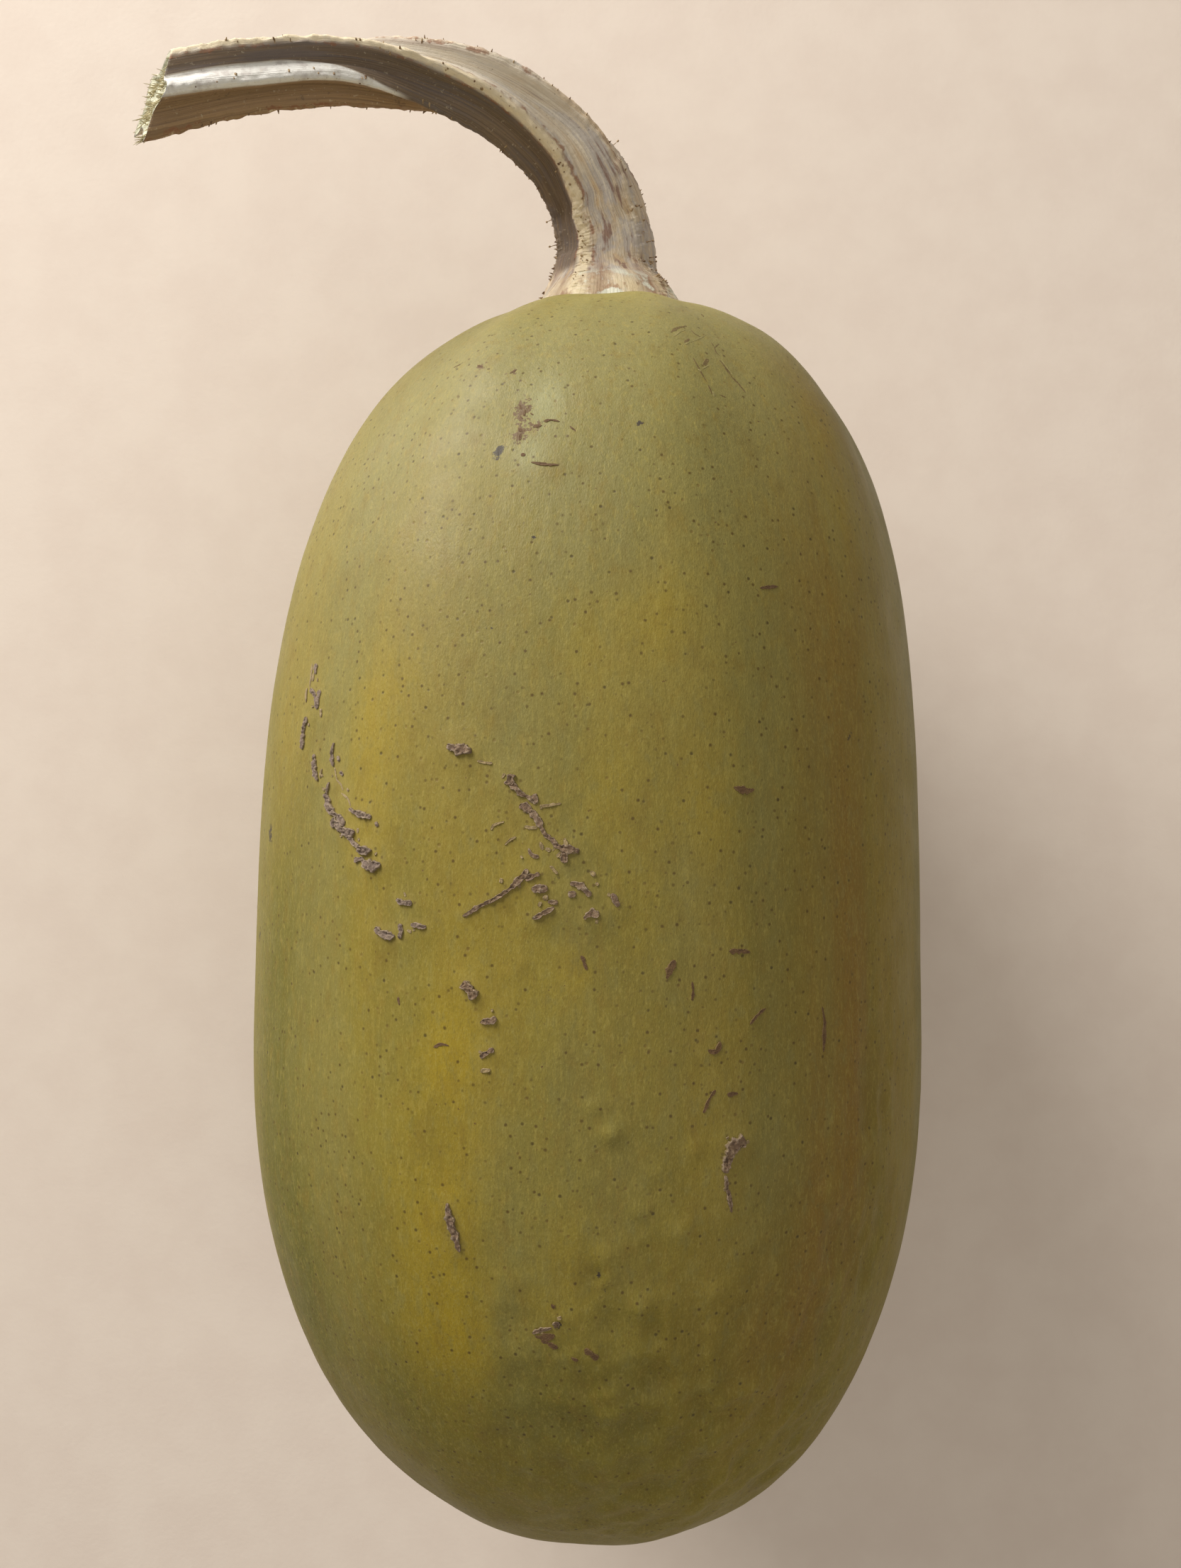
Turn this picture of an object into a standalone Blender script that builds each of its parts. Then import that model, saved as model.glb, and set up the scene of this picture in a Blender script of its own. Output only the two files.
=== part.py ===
"""Cured spaghetti squash lying on its side, with its dry stem: two solids, in metres, +Z up.

The fruit's axis runs along Y, with the stem end at +Y. The origin is on the small flat spot that the fruit
rests on, under the middle of its length. Constants are in millimetres, degrees or, for the marks on the
skin, pixels of a 1666 x 2212 picture taken from straight above.
"""

import math
import random

import bmesh
import bpy
import numpy as np

MM = 0.001
SEED = 11

# The fruit
FRUIT_LENGTH = 225.8
FRUIT_RADIUS = 61.6
BELLY_HEIGHT = 0.9
BELLY_Y = -38.0
BELLY_SPAN = 32.0
WIDEST_Y = -12.8
BLOSSOM_POWERS = (2.73, 2.05)
STEM_POWERS = (2.93, 2.62)
BOW = 4.1
BOW_START = -24.7
BOW_SPAN = 125.0
AXIS_HEIGHT = 61.0
LOBES = 10
LOBE_HEIGHT = 0.2
SHOULDER_LOBE_HEIGHT = 0.8
SHOULDER_START_Y = 10.0
SEAT_RADIUS = 17.5
BLOSSOM_SCAR_RADIUS = 5.5
BLOSSOM_SCAR_HEIGHT = 0.8
BLOSSOM_SCAR_ROOT = 2.0
BLOSSOM_SCAR_SIDES = 10
BLOSSOM_SCAR_SHOULDER = 0.6
BLOSSOM_SCAR_TOP = 0.7
FRUIT_RINGS = 40
FRUIT_SIDES = 68
RIND_COLOUR = (0.46, 0.38, 0.15)
RIND_ROUGHNESS = 0.45
RIND_SHARP_DEGREES = 40

# The stem: each row of its route has x, y, z, the radius over the ridges, the groove's share of that
# radius, and the angle of one ridge from straight up
STEM_GAP = 0.3
STEM_RIDGES = 5
STEM_ROUTE = (
    (4.2, 111.6, 61.0, 16.8, 0.90, -24),
    (4.1, 115.6, 61.0, 14.6, 0.88, -24),
    (4.0, 119.3, 61.1, 12.3, 0.86, -25),
    (4.0, 122.7, 61.6, 10.7, 0.83, -26),
    (4.0, 126.6, 62.6, 10.0, 0.79, -29),
    (3.0, 131.0, 64.2, 9.5, 0.75, -33),
    (0.7, 136.2, 66.9, 8.9, 0.70, -38),
    (-5.2, 142.1, 71.2, 7.9, 0.66, -35),
    (-15.3, 146.5, 77.0, 6.9, 0.63, -28),
    (-27.6, 147.5, 82.2, 5.9, 0.61, -7),
    (-42.0, 145.9, 87.2, 5.4, 0.60, 29),
    (-57.0, 142.0, 91.6, 5.6, 0.60, 34),
    (-71.0, 136.4, 95.0, 6.0, 0.60, 48),
)
STEM_RINGS = 48
STEM_SIDES = 30
RIDGE_SHARPNESS = 1.5
CUT_SLOPE_UP = 0.66
CUT_SLOPE_OUT = 0.60
CUT_REACH = 0.14
STEM_COLOUR = (0.42, 0.33, 0.22)
STEM_ROUGHNESS = 0.7
STEM_SHARP_DEGREES = 35

# The groove on the outer side of the bend is mostly filled, from the foot to past the middle
OUTER_FILL = 0.7
OUTER_FILL_END = 0.68
OUTER_FILL_FADE = 0.15

# Prickles in turn along the stem's ridges, between two places on its route
PRICKLES = 40
PRICKLE_HEIGHT = 0.9
PRICKLE_RADIUS = 0.5
PRICKLE_ROOT = 0.8
PRICKLE_LEAN = 0.3
PRICKLE_PLACES = (0.16, 0.88)
PRICKLE_SCATTER = 0.06

# The picture that the marks' places are read from
EYE = np.array((0.7, 24.25, 287.6))
FOCAL_PIXELS = 1659.0
CENTRE_PIXEL = np.array((833.0, 1106.0))
SEARCH_STEPS = 30

# Raised corky marks: width and height in mm, then the pixels that the mark runs through
MARK_ROOT = 1.0
MARK_SHOULDER_WIDTH = 0.8
MARK_SHOULDER_HEIGHT = 0.6
MARK_END_WIDTH = 0.7
MARK_END_HEIGHT = 0.5
MARKS_BY_THE_LEFT_EDGE = (
    (0.8, 0.4, ((431, 969), (437, 979), (449, 983), (446, 996), (453, 1009))),
    (1.0, 0.5, ((430, 1014), (427, 1035), (424, 1055))),
    (0.9, 0.4, ((444, 1068), (444, 1092), (453, 1098))),
    (1.3, 0.6, ((464, 1108), (461, 1124), (465, 1140), (475, 1150))),
    (1.5, 0.7, ((472, 1160), (484, 1170), (496, 1183), (519, 1201))),
    (1.2, 0.5, ((504, 1212), (519, 1220), (533, 1221))),
    (0.8, 0.4, ((496, 1142), (506, 1148), (520, 1152))),
)
MARKS_ON_TOP = (
    (1.5, 0.6, ((634, 1054), (646, 1057), (658, 1059))),
    (0.7, 0.4, ((673, 1076), (691, 1075))),
    (0.9, 0.5, ((718, 1096), (726, 1113), (738, 1119), (753, 1127))),
    (1.2, 0.5, ((740, 1140), (752, 1153), (762, 1165))),
    (1.5, 0.7, ((766, 1171), (783, 1189), (799, 1202))),
    (0.8, 0.4, ((763, 1137), (789, 1134))),
    (0.8, 0.4, ((690, 1170), (710, 1161))),
    (0.8, 0.4, ((711, 1192), (724, 1183))),
    (1.0, 0.4, ((747, 1203), (759, 1209))),
    (1.1, 0.6, ((654, 1293), (677, 1281), (702, 1267), (724, 1251))),
    (1.2, 0.6, ((726, 1250), (738, 1238), (755, 1235))),
    (1.0, 0.4, ((809, 1247), (822, 1254), (831, 1263))),
    (1.0, 0.4, ((753, 1296), (766, 1289), (778, 1285))),
)
MARKS_TO_THE_BLOSSOM_END = (
    (0.9, 0.4, ((532, 1317), (553, 1315))),
    (0.9, 0.4, ((581, 1307), (596, 1306))),
    (2.0, 0.7, ((660, 1389), (660, 1406))),
    (0.9, 0.4, ((683, 1441), (694, 1441))),
    (0.8, 0.5, ((629, 1704), (633, 1725), (642, 1752), (646, 1767))),
    (1.0, 0.5, ((754, 1888), (770, 1882), (787, 1874))),
    (0.9, 0.4, ((831, 1912), (839, 1912))),
)
MARKS_ON_THE_RIGHT = (
    (1.0, 0.4, ((1043, 1112), (1059, 1116))),
    (1.0, 0.3, ((1034, 1343), (1052, 1343))),
    (0.8, 0.3, ((941, 1379), (953, 1360))),
    (0.8, 0.3, ((1060, 1444), (1084, 1424))),
    (0.8, 0.3, ((1014, 1540), (1003, 1555), (993, 1575))),
    (2.4, 0.9, ((1030, 1614), (1044, 1620))),
    (1.1, 0.5, ((1026, 1649), (1027, 1672), (1032, 1692), (1035, 1712))),
    (1.6, 0.8, ((862, 1602), (869, 1604))),
)
MARKS_BY_THE_STEM = (
    (0.8, 0.3, ((950, 463), (964, 458), (978, 456))),
    (0.8, 0.3, ((1036, 527), (1046, 538), (1053, 552))),
    (0.8, 0.3, ((735, 568), (737, 592), (740, 616))),
)


def smooth_step(value):
    """A soft ramp that is 0 up to 0 and 1 from 1."""
    value = np.clip(value, 0.0, 1.0)
    return value * value * (3.0 - 2.0 * value)


def unit(vector):
    return vector / np.linalg.norm(vector)


def half_and_powers(stem_side):
    """Length of one half of the fruit from its widest place, and the two powers of its outline."""
    end = FRUIT_LENGTH / 2 if stem_side else -FRUIT_LENGTH / 2
    return abs(end - WIDEST_Y), STEM_POWERS if stem_side else BLOSSOM_POWERS


def axis_x(y):
    """The fruit's axis bows a little towards +X at its ends."""
    return BOW * ((y - BOW_START) / BOW_SPAN) ** 2


def belly(y):
    """The fruit is a little fuller towards its blossom end."""
    return BELLY_HEIGHT * math.exp(-(((y - BELLY_Y) / BELLY_SPAN) ** 2))


def profile(turn):
    """Station y and radius of the fruit's outline at a turn: 0 is the blossom end and pi the stem end."""
    side = -math.cos(turn)
    half, (long_power, round_power) = half_and_powers(side > 0)
    y = WIDEST_Y + math.copysign(half * abs(side) ** (2 / long_power), side)
    return y, FRUIT_RADIUS * math.sin(turn) ** (2 / round_power) + belly(y)


def radius_at(y):
    """Radius of the fruit's outline at station y, with no lobes."""
    half, (long_power, round_power) = half_and_powers(y > WIDEST_Y)
    share = min(abs(y - WIDEST_Y) / half, 1.0)
    return FRUIT_RADIUS * (1 - share**long_power) ** (1 / round_power) + belly(y)


def lobe_height(y, angle):
    """How far the fruit's lengthwise lobes stand out, in step with the ridges of the stem's foot."""
    shoulder = smooth_step((y - SHOULDER_START_Y) / (FRUIT_LENGTH / 2 - SHOULDER_START_Y))
    height = LOBE_HEIGHT + (SHOULDER_LOBE_HEIGHT - LOBE_HEIGHT) * shoulder
    return height * math.cos(LOBES * (angle - math.radians(STEM_ROUTE[0][5])))


def fruit_ring(turn):
    """One ring of points round the fruit, flattened where it rests."""
    y, radius = profile(turn)
    points = []
    for side in range(FRUIT_SIDES):
        angle = 2 * math.pi * side / FRUIT_SIDES
        reach = radius + lobe_height(y, angle) * min(1.0, radius / SEAT_RADIUS)
        height = AXIS_HEIGHT + reach * math.cos(angle)
        points.append((axis_x(y) + reach * math.sin(angle), y, max(height, 0.0)))
    return points


def seat_turn():
    """The turn at which the outline is as wide as the seat of the stem."""
    return math.pi - math.asin((SEAT_RADIUS / FRUIT_RADIUS) ** (STEM_POWERS[1] / 2))


def lofted(rings, start=None, end=None):
    """A closed mesh through rings of points, each end drawn to a point or else capped flat."""
    mesh = bmesh.new()
    rows = [[mesh.verts.new(point) for point in ring] for ring in rings]
    sides = len(rows[0])
    for low, high in zip(rows, rows[1:]):
        for side in range(sides):
            ahead = (side + 1) % sides
            mesh.faces.new((low[side], low[ahead], high[ahead], high[side]))
    for row, tip in ((rows[0], start), (rows[-1], end)):
        if tip is None:
            mesh.faces.new(row)
            continue
        point = mesh.verts.new(tip)
        for side in range(sides):
            mesh.faces.new((row[side], row[(side + 1) % sides], point))
    return mesh


def make_object(name, mesh, collection):
    """Turns a mesh in millimetres into an object in metres, with its faces pointing out."""
    bmesh.ops.triangulate(mesh, faces=mesh.faces)
    bmesh.ops.recalc_face_normals(mesh, faces=mesh.faces)
    bmesh.ops.scale(mesh, vec=(MM, MM, MM), verts=mesh.verts)
    data = bpy.data.meshes.new(name)
    mesh.to_mesh(data)
    mesh.free()
    obj = bpy.data.objects.new(name, data)
    collection.objects.link(obj)
    return obj


def make_material(name, colour, roughness):
    material = bpy.data.materials.new(name)
    material.use_nodes = True
    shader = material.node_tree.nodes["Principled BSDF"]
    shader.inputs["Base Color"].default_value = (*colour, 1.0)
    shader.inputs["Roughness"].default_value = roughness
    shader.inputs["Metallic"].default_value = 0.0
    return material


def skin_point(pixel):
    """The point of the skin, and its outward direction, that shows at a pixel of the picture."""
    shift = (np.array(pixel) - CENTRE_PIXEL) / FOCAL_PIXELS * (1, -1)

    def on_ray(z):
        return np.array((*(EYE[:2] + shift * (EYE[2] - z)), z))

    def above_skin(point):
        across = math.hypot(point[0] - axis_x(point[1]), point[2] - AXIS_HEIGHT)
        return across - radius_at(point[1])

    high, low = AXIS_HEIGHT + FRUIT_RADIUS + 1.0, AXIS_HEIGHT
    for _ in range(SEARCH_STEPS):
        middle = (high + low) / 2
        if above_skin(on_ray(middle)) > 0:
            high = middle
        else:
            low = middle
    point = on_ray(low)
    radial = np.array((point[0] - axis_x(point[1]), 0.0, point[2] - AXIS_HEIGHT))
    slope = radius_at(point[1] + 0.5) - radius_at(point[1] - 0.5)
    return point, unit(unit(radial) - np.array((0.0, slope, 0.0)))


def mark_section(half, top):
    """Outline across a mark, as pairs of aside and up: sunk sides, two shoulders and a crown."""
    aside, up = half * MARK_SHOULDER_WIDTH, top * MARK_SHOULDER_HEIGHT
    return (-half, -MARK_ROOT), (-aside, up), (0, top), (aside, up), (half, -MARK_ROOT)


def mark_mesh(width, height, pixels):
    """A low ridge with a sunk root that follows the skin through the given pixels."""
    points, normals = zip(*(skin_point(pixel) for pixel in pixels))
    ahead = np.gradient(np.array(points), axis=0)
    rings = []
    for step, (point, normal, direction) in enumerate(zip(points, normals, ahead)):
        across = unit(np.cross(normal, direction))
        at_end = step in (0, len(points) - 1)
        half = width / 2 * (MARK_END_WIDTH if at_end else 1.0)
        top = height * (MARK_END_HEIGHT if at_end else 1.0)
        section = mark_section(half, top)
        rings.append([tuple(point + across * aside + normal * up) for aside, up in section])
    return lofted(rings)


def blossom_scar_mesh():
    """The low round scar that the flower left at the blossom end."""
    end = -FRUIT_LENGTH / 2
    turns = [2 * math.pi * side / BLOSSOM_SCAR_SIDES for side in range(BLOSSOM_SCAR_SIDES)]
    rings = []
    for y, radius in (
        (end + BLOSSOM_SCAR_ROOT, BLOSSOM_SCAR_RADIUS),
        (end - BLOSSOM_SCAR_HEIGHT * BLOSSOM_SCAR_SHOULDER, BLOSSOM_SCAR_RADIUS),
        (end - BLOSSOM_SCAR_HEIGHT, BLOSSOM_SCAR_RADIUS * BLOSSOM_SCAR_TOP),
    ):
        ring = [(axis_x(end) + radius * math.sin(t), y, AXIS_HEIGHT + radius * math.cos(t)) for t in turns]
        rings.append(ring)
    return lofted(rings)


def join_repeats(body, repeats, solver="EXACT"):
    """Unites a collection of small solids with the body that they grow from."""
    union = body.modifiers.new("repeats", "BOOLEAN")
    union.operation = "UNION"
    union.operand_type = "COLLECTION"
    union.collection = repeats
    union.solver = solver
    bpy.context.view_layer.objects.active = body
    bpy.ops.object.modifier_apply(modifier=union.name)
    for obj in list(repeats.objects):
        bpy.data.objects.remove(obj)
    bpy.data.collections.remove(repeats)


def new_collection(name):
    collection = bpy.data.collections.new(name)
    bpy.context.scene.collection.children.link(collection)
    return collection


def finish_surface(obj, material, sharp_degrees):
    obj.data.materials.clear()
    obj.data.materials.append(material)
    obj.data.shade_smooth()
    obj.data.set_sharp_from_angle(angle=math.radians(sharp_degrees))


def make_fruit():
    last = seat_turn()
    rings = [fruit_ring(last * step / FRUIT_RINGS) for step in range(1, FRUIT_RINGS + 1)]
    blossom_pole = (axis_x(-FRUIT_LENGTH / 2), -FRUIT_LENGTH / 2, AXIS_HEIGHT)
    seat_y = profile(last)[0]
    seat_middle = (axis_x(seat_y), seat_y, AXIS_HEIGHT)
    scene_collection = bpy.context.scene.collection
    fruit = make_object("squash_fruit", lofted(rings, blossom_pole, seat_middle), scene_collection)
    marks = new_collection("marks")
    groups = (
        MARKS_BY_THE_LEFT_EDGE,
        MARKS_ON_TOP,
        MARKS_TO_THE_BLOSSOM_END,
        MARKS_ON_THE_RIGHT,
        MARKS_BY_THE_STEM,
    )
    for group in groups:
        for width, height, pixels in group:
            make_object("mark", mark_mesh(width, height, pixels), marks)
    make_object("blossom_scar", blossom_scar_mesh(), marks)
    join_repeats(fruit, marks)
    finish_surface(fruit, make_material("rind", RIND_COLOUR, RIND_ROUGHNESS), RIND_SHARP_DEGREES)
    return fruit


def route_at(place):
    """All six values of the stem's route at a place from 0, the foot, to 1, the tip."""
    rows = np.array(STEM_ROUTE, dtype=float)
    rows[0, 1] = profile(seat_turn())[0] + STEM_GAP
    padded = np.vstack((2 * rows[0] - rows[1], rows, 2 * rows[-1] - rows[-2]))
    along = min(max(place, 0.0), 1.0) * (len(rows) - 1)
    first = min(int(along), len(rows) - 2)
    f = along - first
    before, start, end, after = padded[first : first + 4]
    return 0.5 * (
        2 * start
        + (end - before) * f
        + (2 * before - 5 * start + 4 * end - after) * f**2
        + (3 * start - before - 3 * end + after) * f**3
    )


def stem_axes(place):
    """Directions along the stem, up across it and sideways across it."""
    if place <= 0:
        along = np.array((0.0, 1.0, 0.0))
    else:
        along = unit(route_at(place + 0.01)[:3] - route_at(place - 0.01)[:3])
    up = unit(np.array((0.0, 0.0, 1.0)) - along[2] * along)
    return along, up, np.cross(along, up)


def ridge_share(place, turn):
    """1 on the crest of a ridge and 0 in the groove between two, or more where that groove is filled."""
    ridge = (0.5 + 0.5 * math.cos(STEM_RIDGES * turn)) ** RIDGE_SHARPNESS
    if turn % math.tau >= math.tau / STEM_RIDGES:
        return ridge
    fill = OUTER_FILL * smooth_step((OUTER_FILL_END - place) / OUTER_FILL_FADE)
    return ridge + fill * (1 - ridge)


def stem_point(place, turn, lift=0.0):
    """A point on the ridged stem, at a turn from the marked ridge and lifted off the surface."""
    values = route_at(place)
    along, up, out = stem_axes(place)
    reach = values[3] * (values[4] + (1 - values[4]) * ridge_share(place, turn)) + lift
    angle = turn + math.radians(values[5])
    high, wide = reach * math.cos(angle), reach * math.sin(angle)
    slant = smooth_step((place - 1 + CUT_REACH) / CUT_REACH)
    shift = -slant * (CUT_SLOPE_UP * high + CUT_SLOPE_OUT * wide)
    return values[:3] + up * high + out * wide + along * shift


def prickle_mesh(place, turn):
    """A three-sided prickle that leans a little towards the stem's tip."""
    along = stem_axes(place)[0]
    root = stem_point(place, turn, -PRICKLE_ROOT)
    outward = unit(stem_point(place, turn, 1.0) - root)
    across = np.cross(outward, along)
    corners = []
    for third in range(3):
        angle = 2 * math.pi * third / 3
        corners.append(root + PRICKLE_RADIUS * (along * math.cos(angle) + across * math.sin(angle)))
    apex = stem_point(place, turn, PRICKLE_HEIGHT) + along * PRICKLE_HEIGHT * PRICKLE_LEAN
    mesh = bmesh.new()
    base = [mesh.verts.new(corner) for corner in corners]
    top = mesh.verts.new(apex)
    mesh.faces.new(base)
    for third in range(3):
        mesh.faces.new((base[third], base[(third + 1) % 3], top))
    return mesh


def make_stem():
    turns = [2 * math.pi * side / STEM_SIDES for side in range(STEM_SIDES)]
    rings = []
    for step in range(STEM_RINGS + 1):
        rings.append([tuple(stem_point(step / STEM_RINGS, turn)) for turn in turns])
    stem = make_object("squash_stem", lofted(rings), bpy.context.scene.collection)
    draw = random.Random(SEED)
    prickles = new_collection("prickles")
    first, last = PRICKLE_PLACES
    for number in range(PRICKLES):
        place = first + (last - first) * (number + draw.uniform(0.1, 0.9)) / PRICKLES
        ridge = 2 * math.pi * (number % STEM_RIDGES) / STEM_RIDGES
        mesh = prickle_mesh(place, ridge + draw.uniform(-PRICKLE_SCATTER, PRICKLE_SCATTER))
        make_object("prickle", mesh, prickles)
    join_repeats(stem, prickles, "MANIFOLD")
    finish_surface(stem, make_material("dry_stem", STEM_COLOUR, STEM_ROUGHNESS), STEM_SHARP_DEGREES)
    return stem


def main():
    for obj in list(bpy.data.objects):
        bpy.data.objects.remove(obj)
    make_fruit()
    make_stem()


main()
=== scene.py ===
"""Looks of a cured spaghetti squash that lies on its side with its dry stem on.

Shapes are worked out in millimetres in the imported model's frame, where the fruit's axis runs along Y and its
stem end is at +Y. The camera looks straight down, and the marks are placed by the pixels of its picture.
"""

import math
import random

import bpy
import numpy as np
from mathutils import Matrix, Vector


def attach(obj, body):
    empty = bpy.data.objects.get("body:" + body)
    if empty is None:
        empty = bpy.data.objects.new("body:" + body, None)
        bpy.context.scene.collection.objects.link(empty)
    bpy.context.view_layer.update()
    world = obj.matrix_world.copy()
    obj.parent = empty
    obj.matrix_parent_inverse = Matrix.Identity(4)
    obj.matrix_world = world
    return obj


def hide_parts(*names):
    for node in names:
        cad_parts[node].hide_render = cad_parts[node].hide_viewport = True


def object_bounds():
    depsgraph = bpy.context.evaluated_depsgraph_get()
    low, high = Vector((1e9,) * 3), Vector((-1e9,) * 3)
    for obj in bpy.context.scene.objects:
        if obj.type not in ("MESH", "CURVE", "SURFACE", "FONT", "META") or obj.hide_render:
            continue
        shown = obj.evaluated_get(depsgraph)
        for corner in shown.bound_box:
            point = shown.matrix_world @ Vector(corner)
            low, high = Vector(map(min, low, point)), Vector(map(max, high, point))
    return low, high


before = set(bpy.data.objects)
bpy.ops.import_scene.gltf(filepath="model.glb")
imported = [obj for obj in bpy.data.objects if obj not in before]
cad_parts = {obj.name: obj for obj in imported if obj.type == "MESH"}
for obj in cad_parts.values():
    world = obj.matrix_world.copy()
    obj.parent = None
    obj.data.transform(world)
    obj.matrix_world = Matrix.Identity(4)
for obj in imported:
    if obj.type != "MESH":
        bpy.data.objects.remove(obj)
cad_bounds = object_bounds()

MM = 0.001
LOWEST, HIGHEST = (np.array(corner) for corner in cad_bounds)
DRAW = random.Random(20)

# The fruit's form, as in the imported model
FRUIT_LENGTH = 225.8
FRUIT_RADIUS = 61.6
AXIS_HEIGHT = 61.0
WIDEST_Y = -12.8
BLOSSOM_POWERS = (2.73, 2.05)
STEM_POWERS = (2.93, 2.62)
BELLY_HEIGHT = 0.9
BELLY_Y = -38.0
BELLY_SPAN = 32.0
BOW = 4.1
BOW_START = -24.7
BOW_SPAN = 125.0
LOBES = 10
LOBE_HEIGHT = 0.2
SHOULDER_LOBE_HEIGHT = 0.8
SHOULDER_START_Y = 10.0
SEAT_RADIUS = 17.5
SKIN_SINK = 0.2
TOP_SINK = 0.9
TOP_SINK_SPREAD = 0.5
OUTLINE_POINTS = 20001
ROUND_POINTS = 4001
RIND_ROWS = 300
RIND_COLUMNS = 328
TOP_ANGLE = math.radians(85)
SHARE_AWAY_FROM_TOP = 0.45
SCAR_RADIUS = 5.5
FOLDS_START_Y = 40.0
FOLDS_SPAN = 60.0
BLOSSOM_CALM_Y = -110.0
LEATHER_START_Y = -26.0
LEATHER_END_Y = -112.0
LEATHER_ELSEWHERE = 0.06

# The stem's route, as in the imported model: x, y, z, the radius over the ridges, the groove's share of that
# radius, and the angle of one ridge from straight up
STEM_RIDGES = 5
FACE_DEGREES = 360 / STEM_RIDGES
STEM_ROUTE = (
    (4.2, 111.6, 61.0, 16.8, 0.90, -24),
    (4.1, 115.6, 61.0, 14.6, 0.88, -24),
    (4.0, 119.3, 61.1, 12.3, 0.86, -25),
    (4.0, 122.7, 61.6, 10.7, 0.83, -26),
    (4.0, 126.6, 62.6, 10.0, 0.79, -29),
    (3.0, 131.0, 64.2, 9.5, 0.75, -33),
    (0.7, 136.2, 66.9, 8.9, 0.70, -38),
    (-5.2, 142.1, 71.2, 7.9, 0.66, -35),
    (-15.3, 146.5, 77.0, 6.9, 0.63, -28),
    (-27.6, 147.5, 82.2, 5.9, 0.61, -7),
    (-42.0, 145.9, 87.2, 5.4, 0.60, 29),
    (-57.0, 142.0, 91.6, 5.6, 0.60, 34),
    (-71.0, 136.4, 95.0, 6.0, 0.60, 48),
)
STEM_ROWS = 420
STEM_COLUMNS = 160
RIDGE_SHARPNESS = 1.5
CUT_SLOPE_UP = 0.66
CUT_SLOPE_OUT = 0.60
CUT_REACH = 0.14
LOW_CORNER = math.radians(-144)
FOOT_SINK = 0.7
FOOT_RIB_HEIGHT = 0.9
STEM_LENGTH = 118.0
CAP_ROWS = 14
PRICKLES = 300
BULB_HAIRS = 14
RIM_FIBRES = 130
CORNER_FIBRES = 14
FIBRE_ROOT = 0.8

# Layers of noise: height in mm, squeeze along Y, cell in mm, and a number of its own
SKIN_WAVES = ((0.22, 0.6, 26.0, 1), (0.07, 0.5, 9.0, 2), (0.035, 0.22, 2.2, 3))
DIMPLES = ((0.4, 0.8, 4.2, 4), (0.2, 1.0, 1.8, 6))
RAGGED_SIDES = ((0.4, 1.0, 1.1, 12), (0.25, 1.0, 0.4, 13))
FRAYED_SIDES = ((0.32, 1.0, 0.5, 16), (0.24, 1.0, 0.22, 17))
CLUMPS = ((0.3, 1.0, 0.8, 14), (0.3, 1.0, 0.3, 15))
STEM_FIBRES = ((0.16, 1.0, 1.1, 21), (0.07, 1.0, 0.5, 22))
RIDGE_CRUST = ((0.22, 1.0, 0.9, 23), (0.12, 1.0, 0.45, 24))
CUT_ENDS = ((0.5, 1.0, 0.8, 31), (0.25, 1.0, 0.35, 32))
SCAR_GRAIN = ((0.12, 1.0, 1.1, 41), (0.07, 1.0, 0.5, 42))

# The camera: a 27 mm lens on a 36 mm wide sensor, straight above
EYE = np.array((0.7, 24.25, 287.6))
LENS = 27.0
SENSOR = 36.0
PICTURE = np.array((1666, 2212))
FOCAL_PIXELS = LENS / SENSOR * PICTURE[1]
CENTRE_PIXEL = PICTURE / 2
HALVINGS = 26

# The floor, in metres
FLOOR_HALF = 3.0
FLOOR_LEVEL = -0.0002

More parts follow.
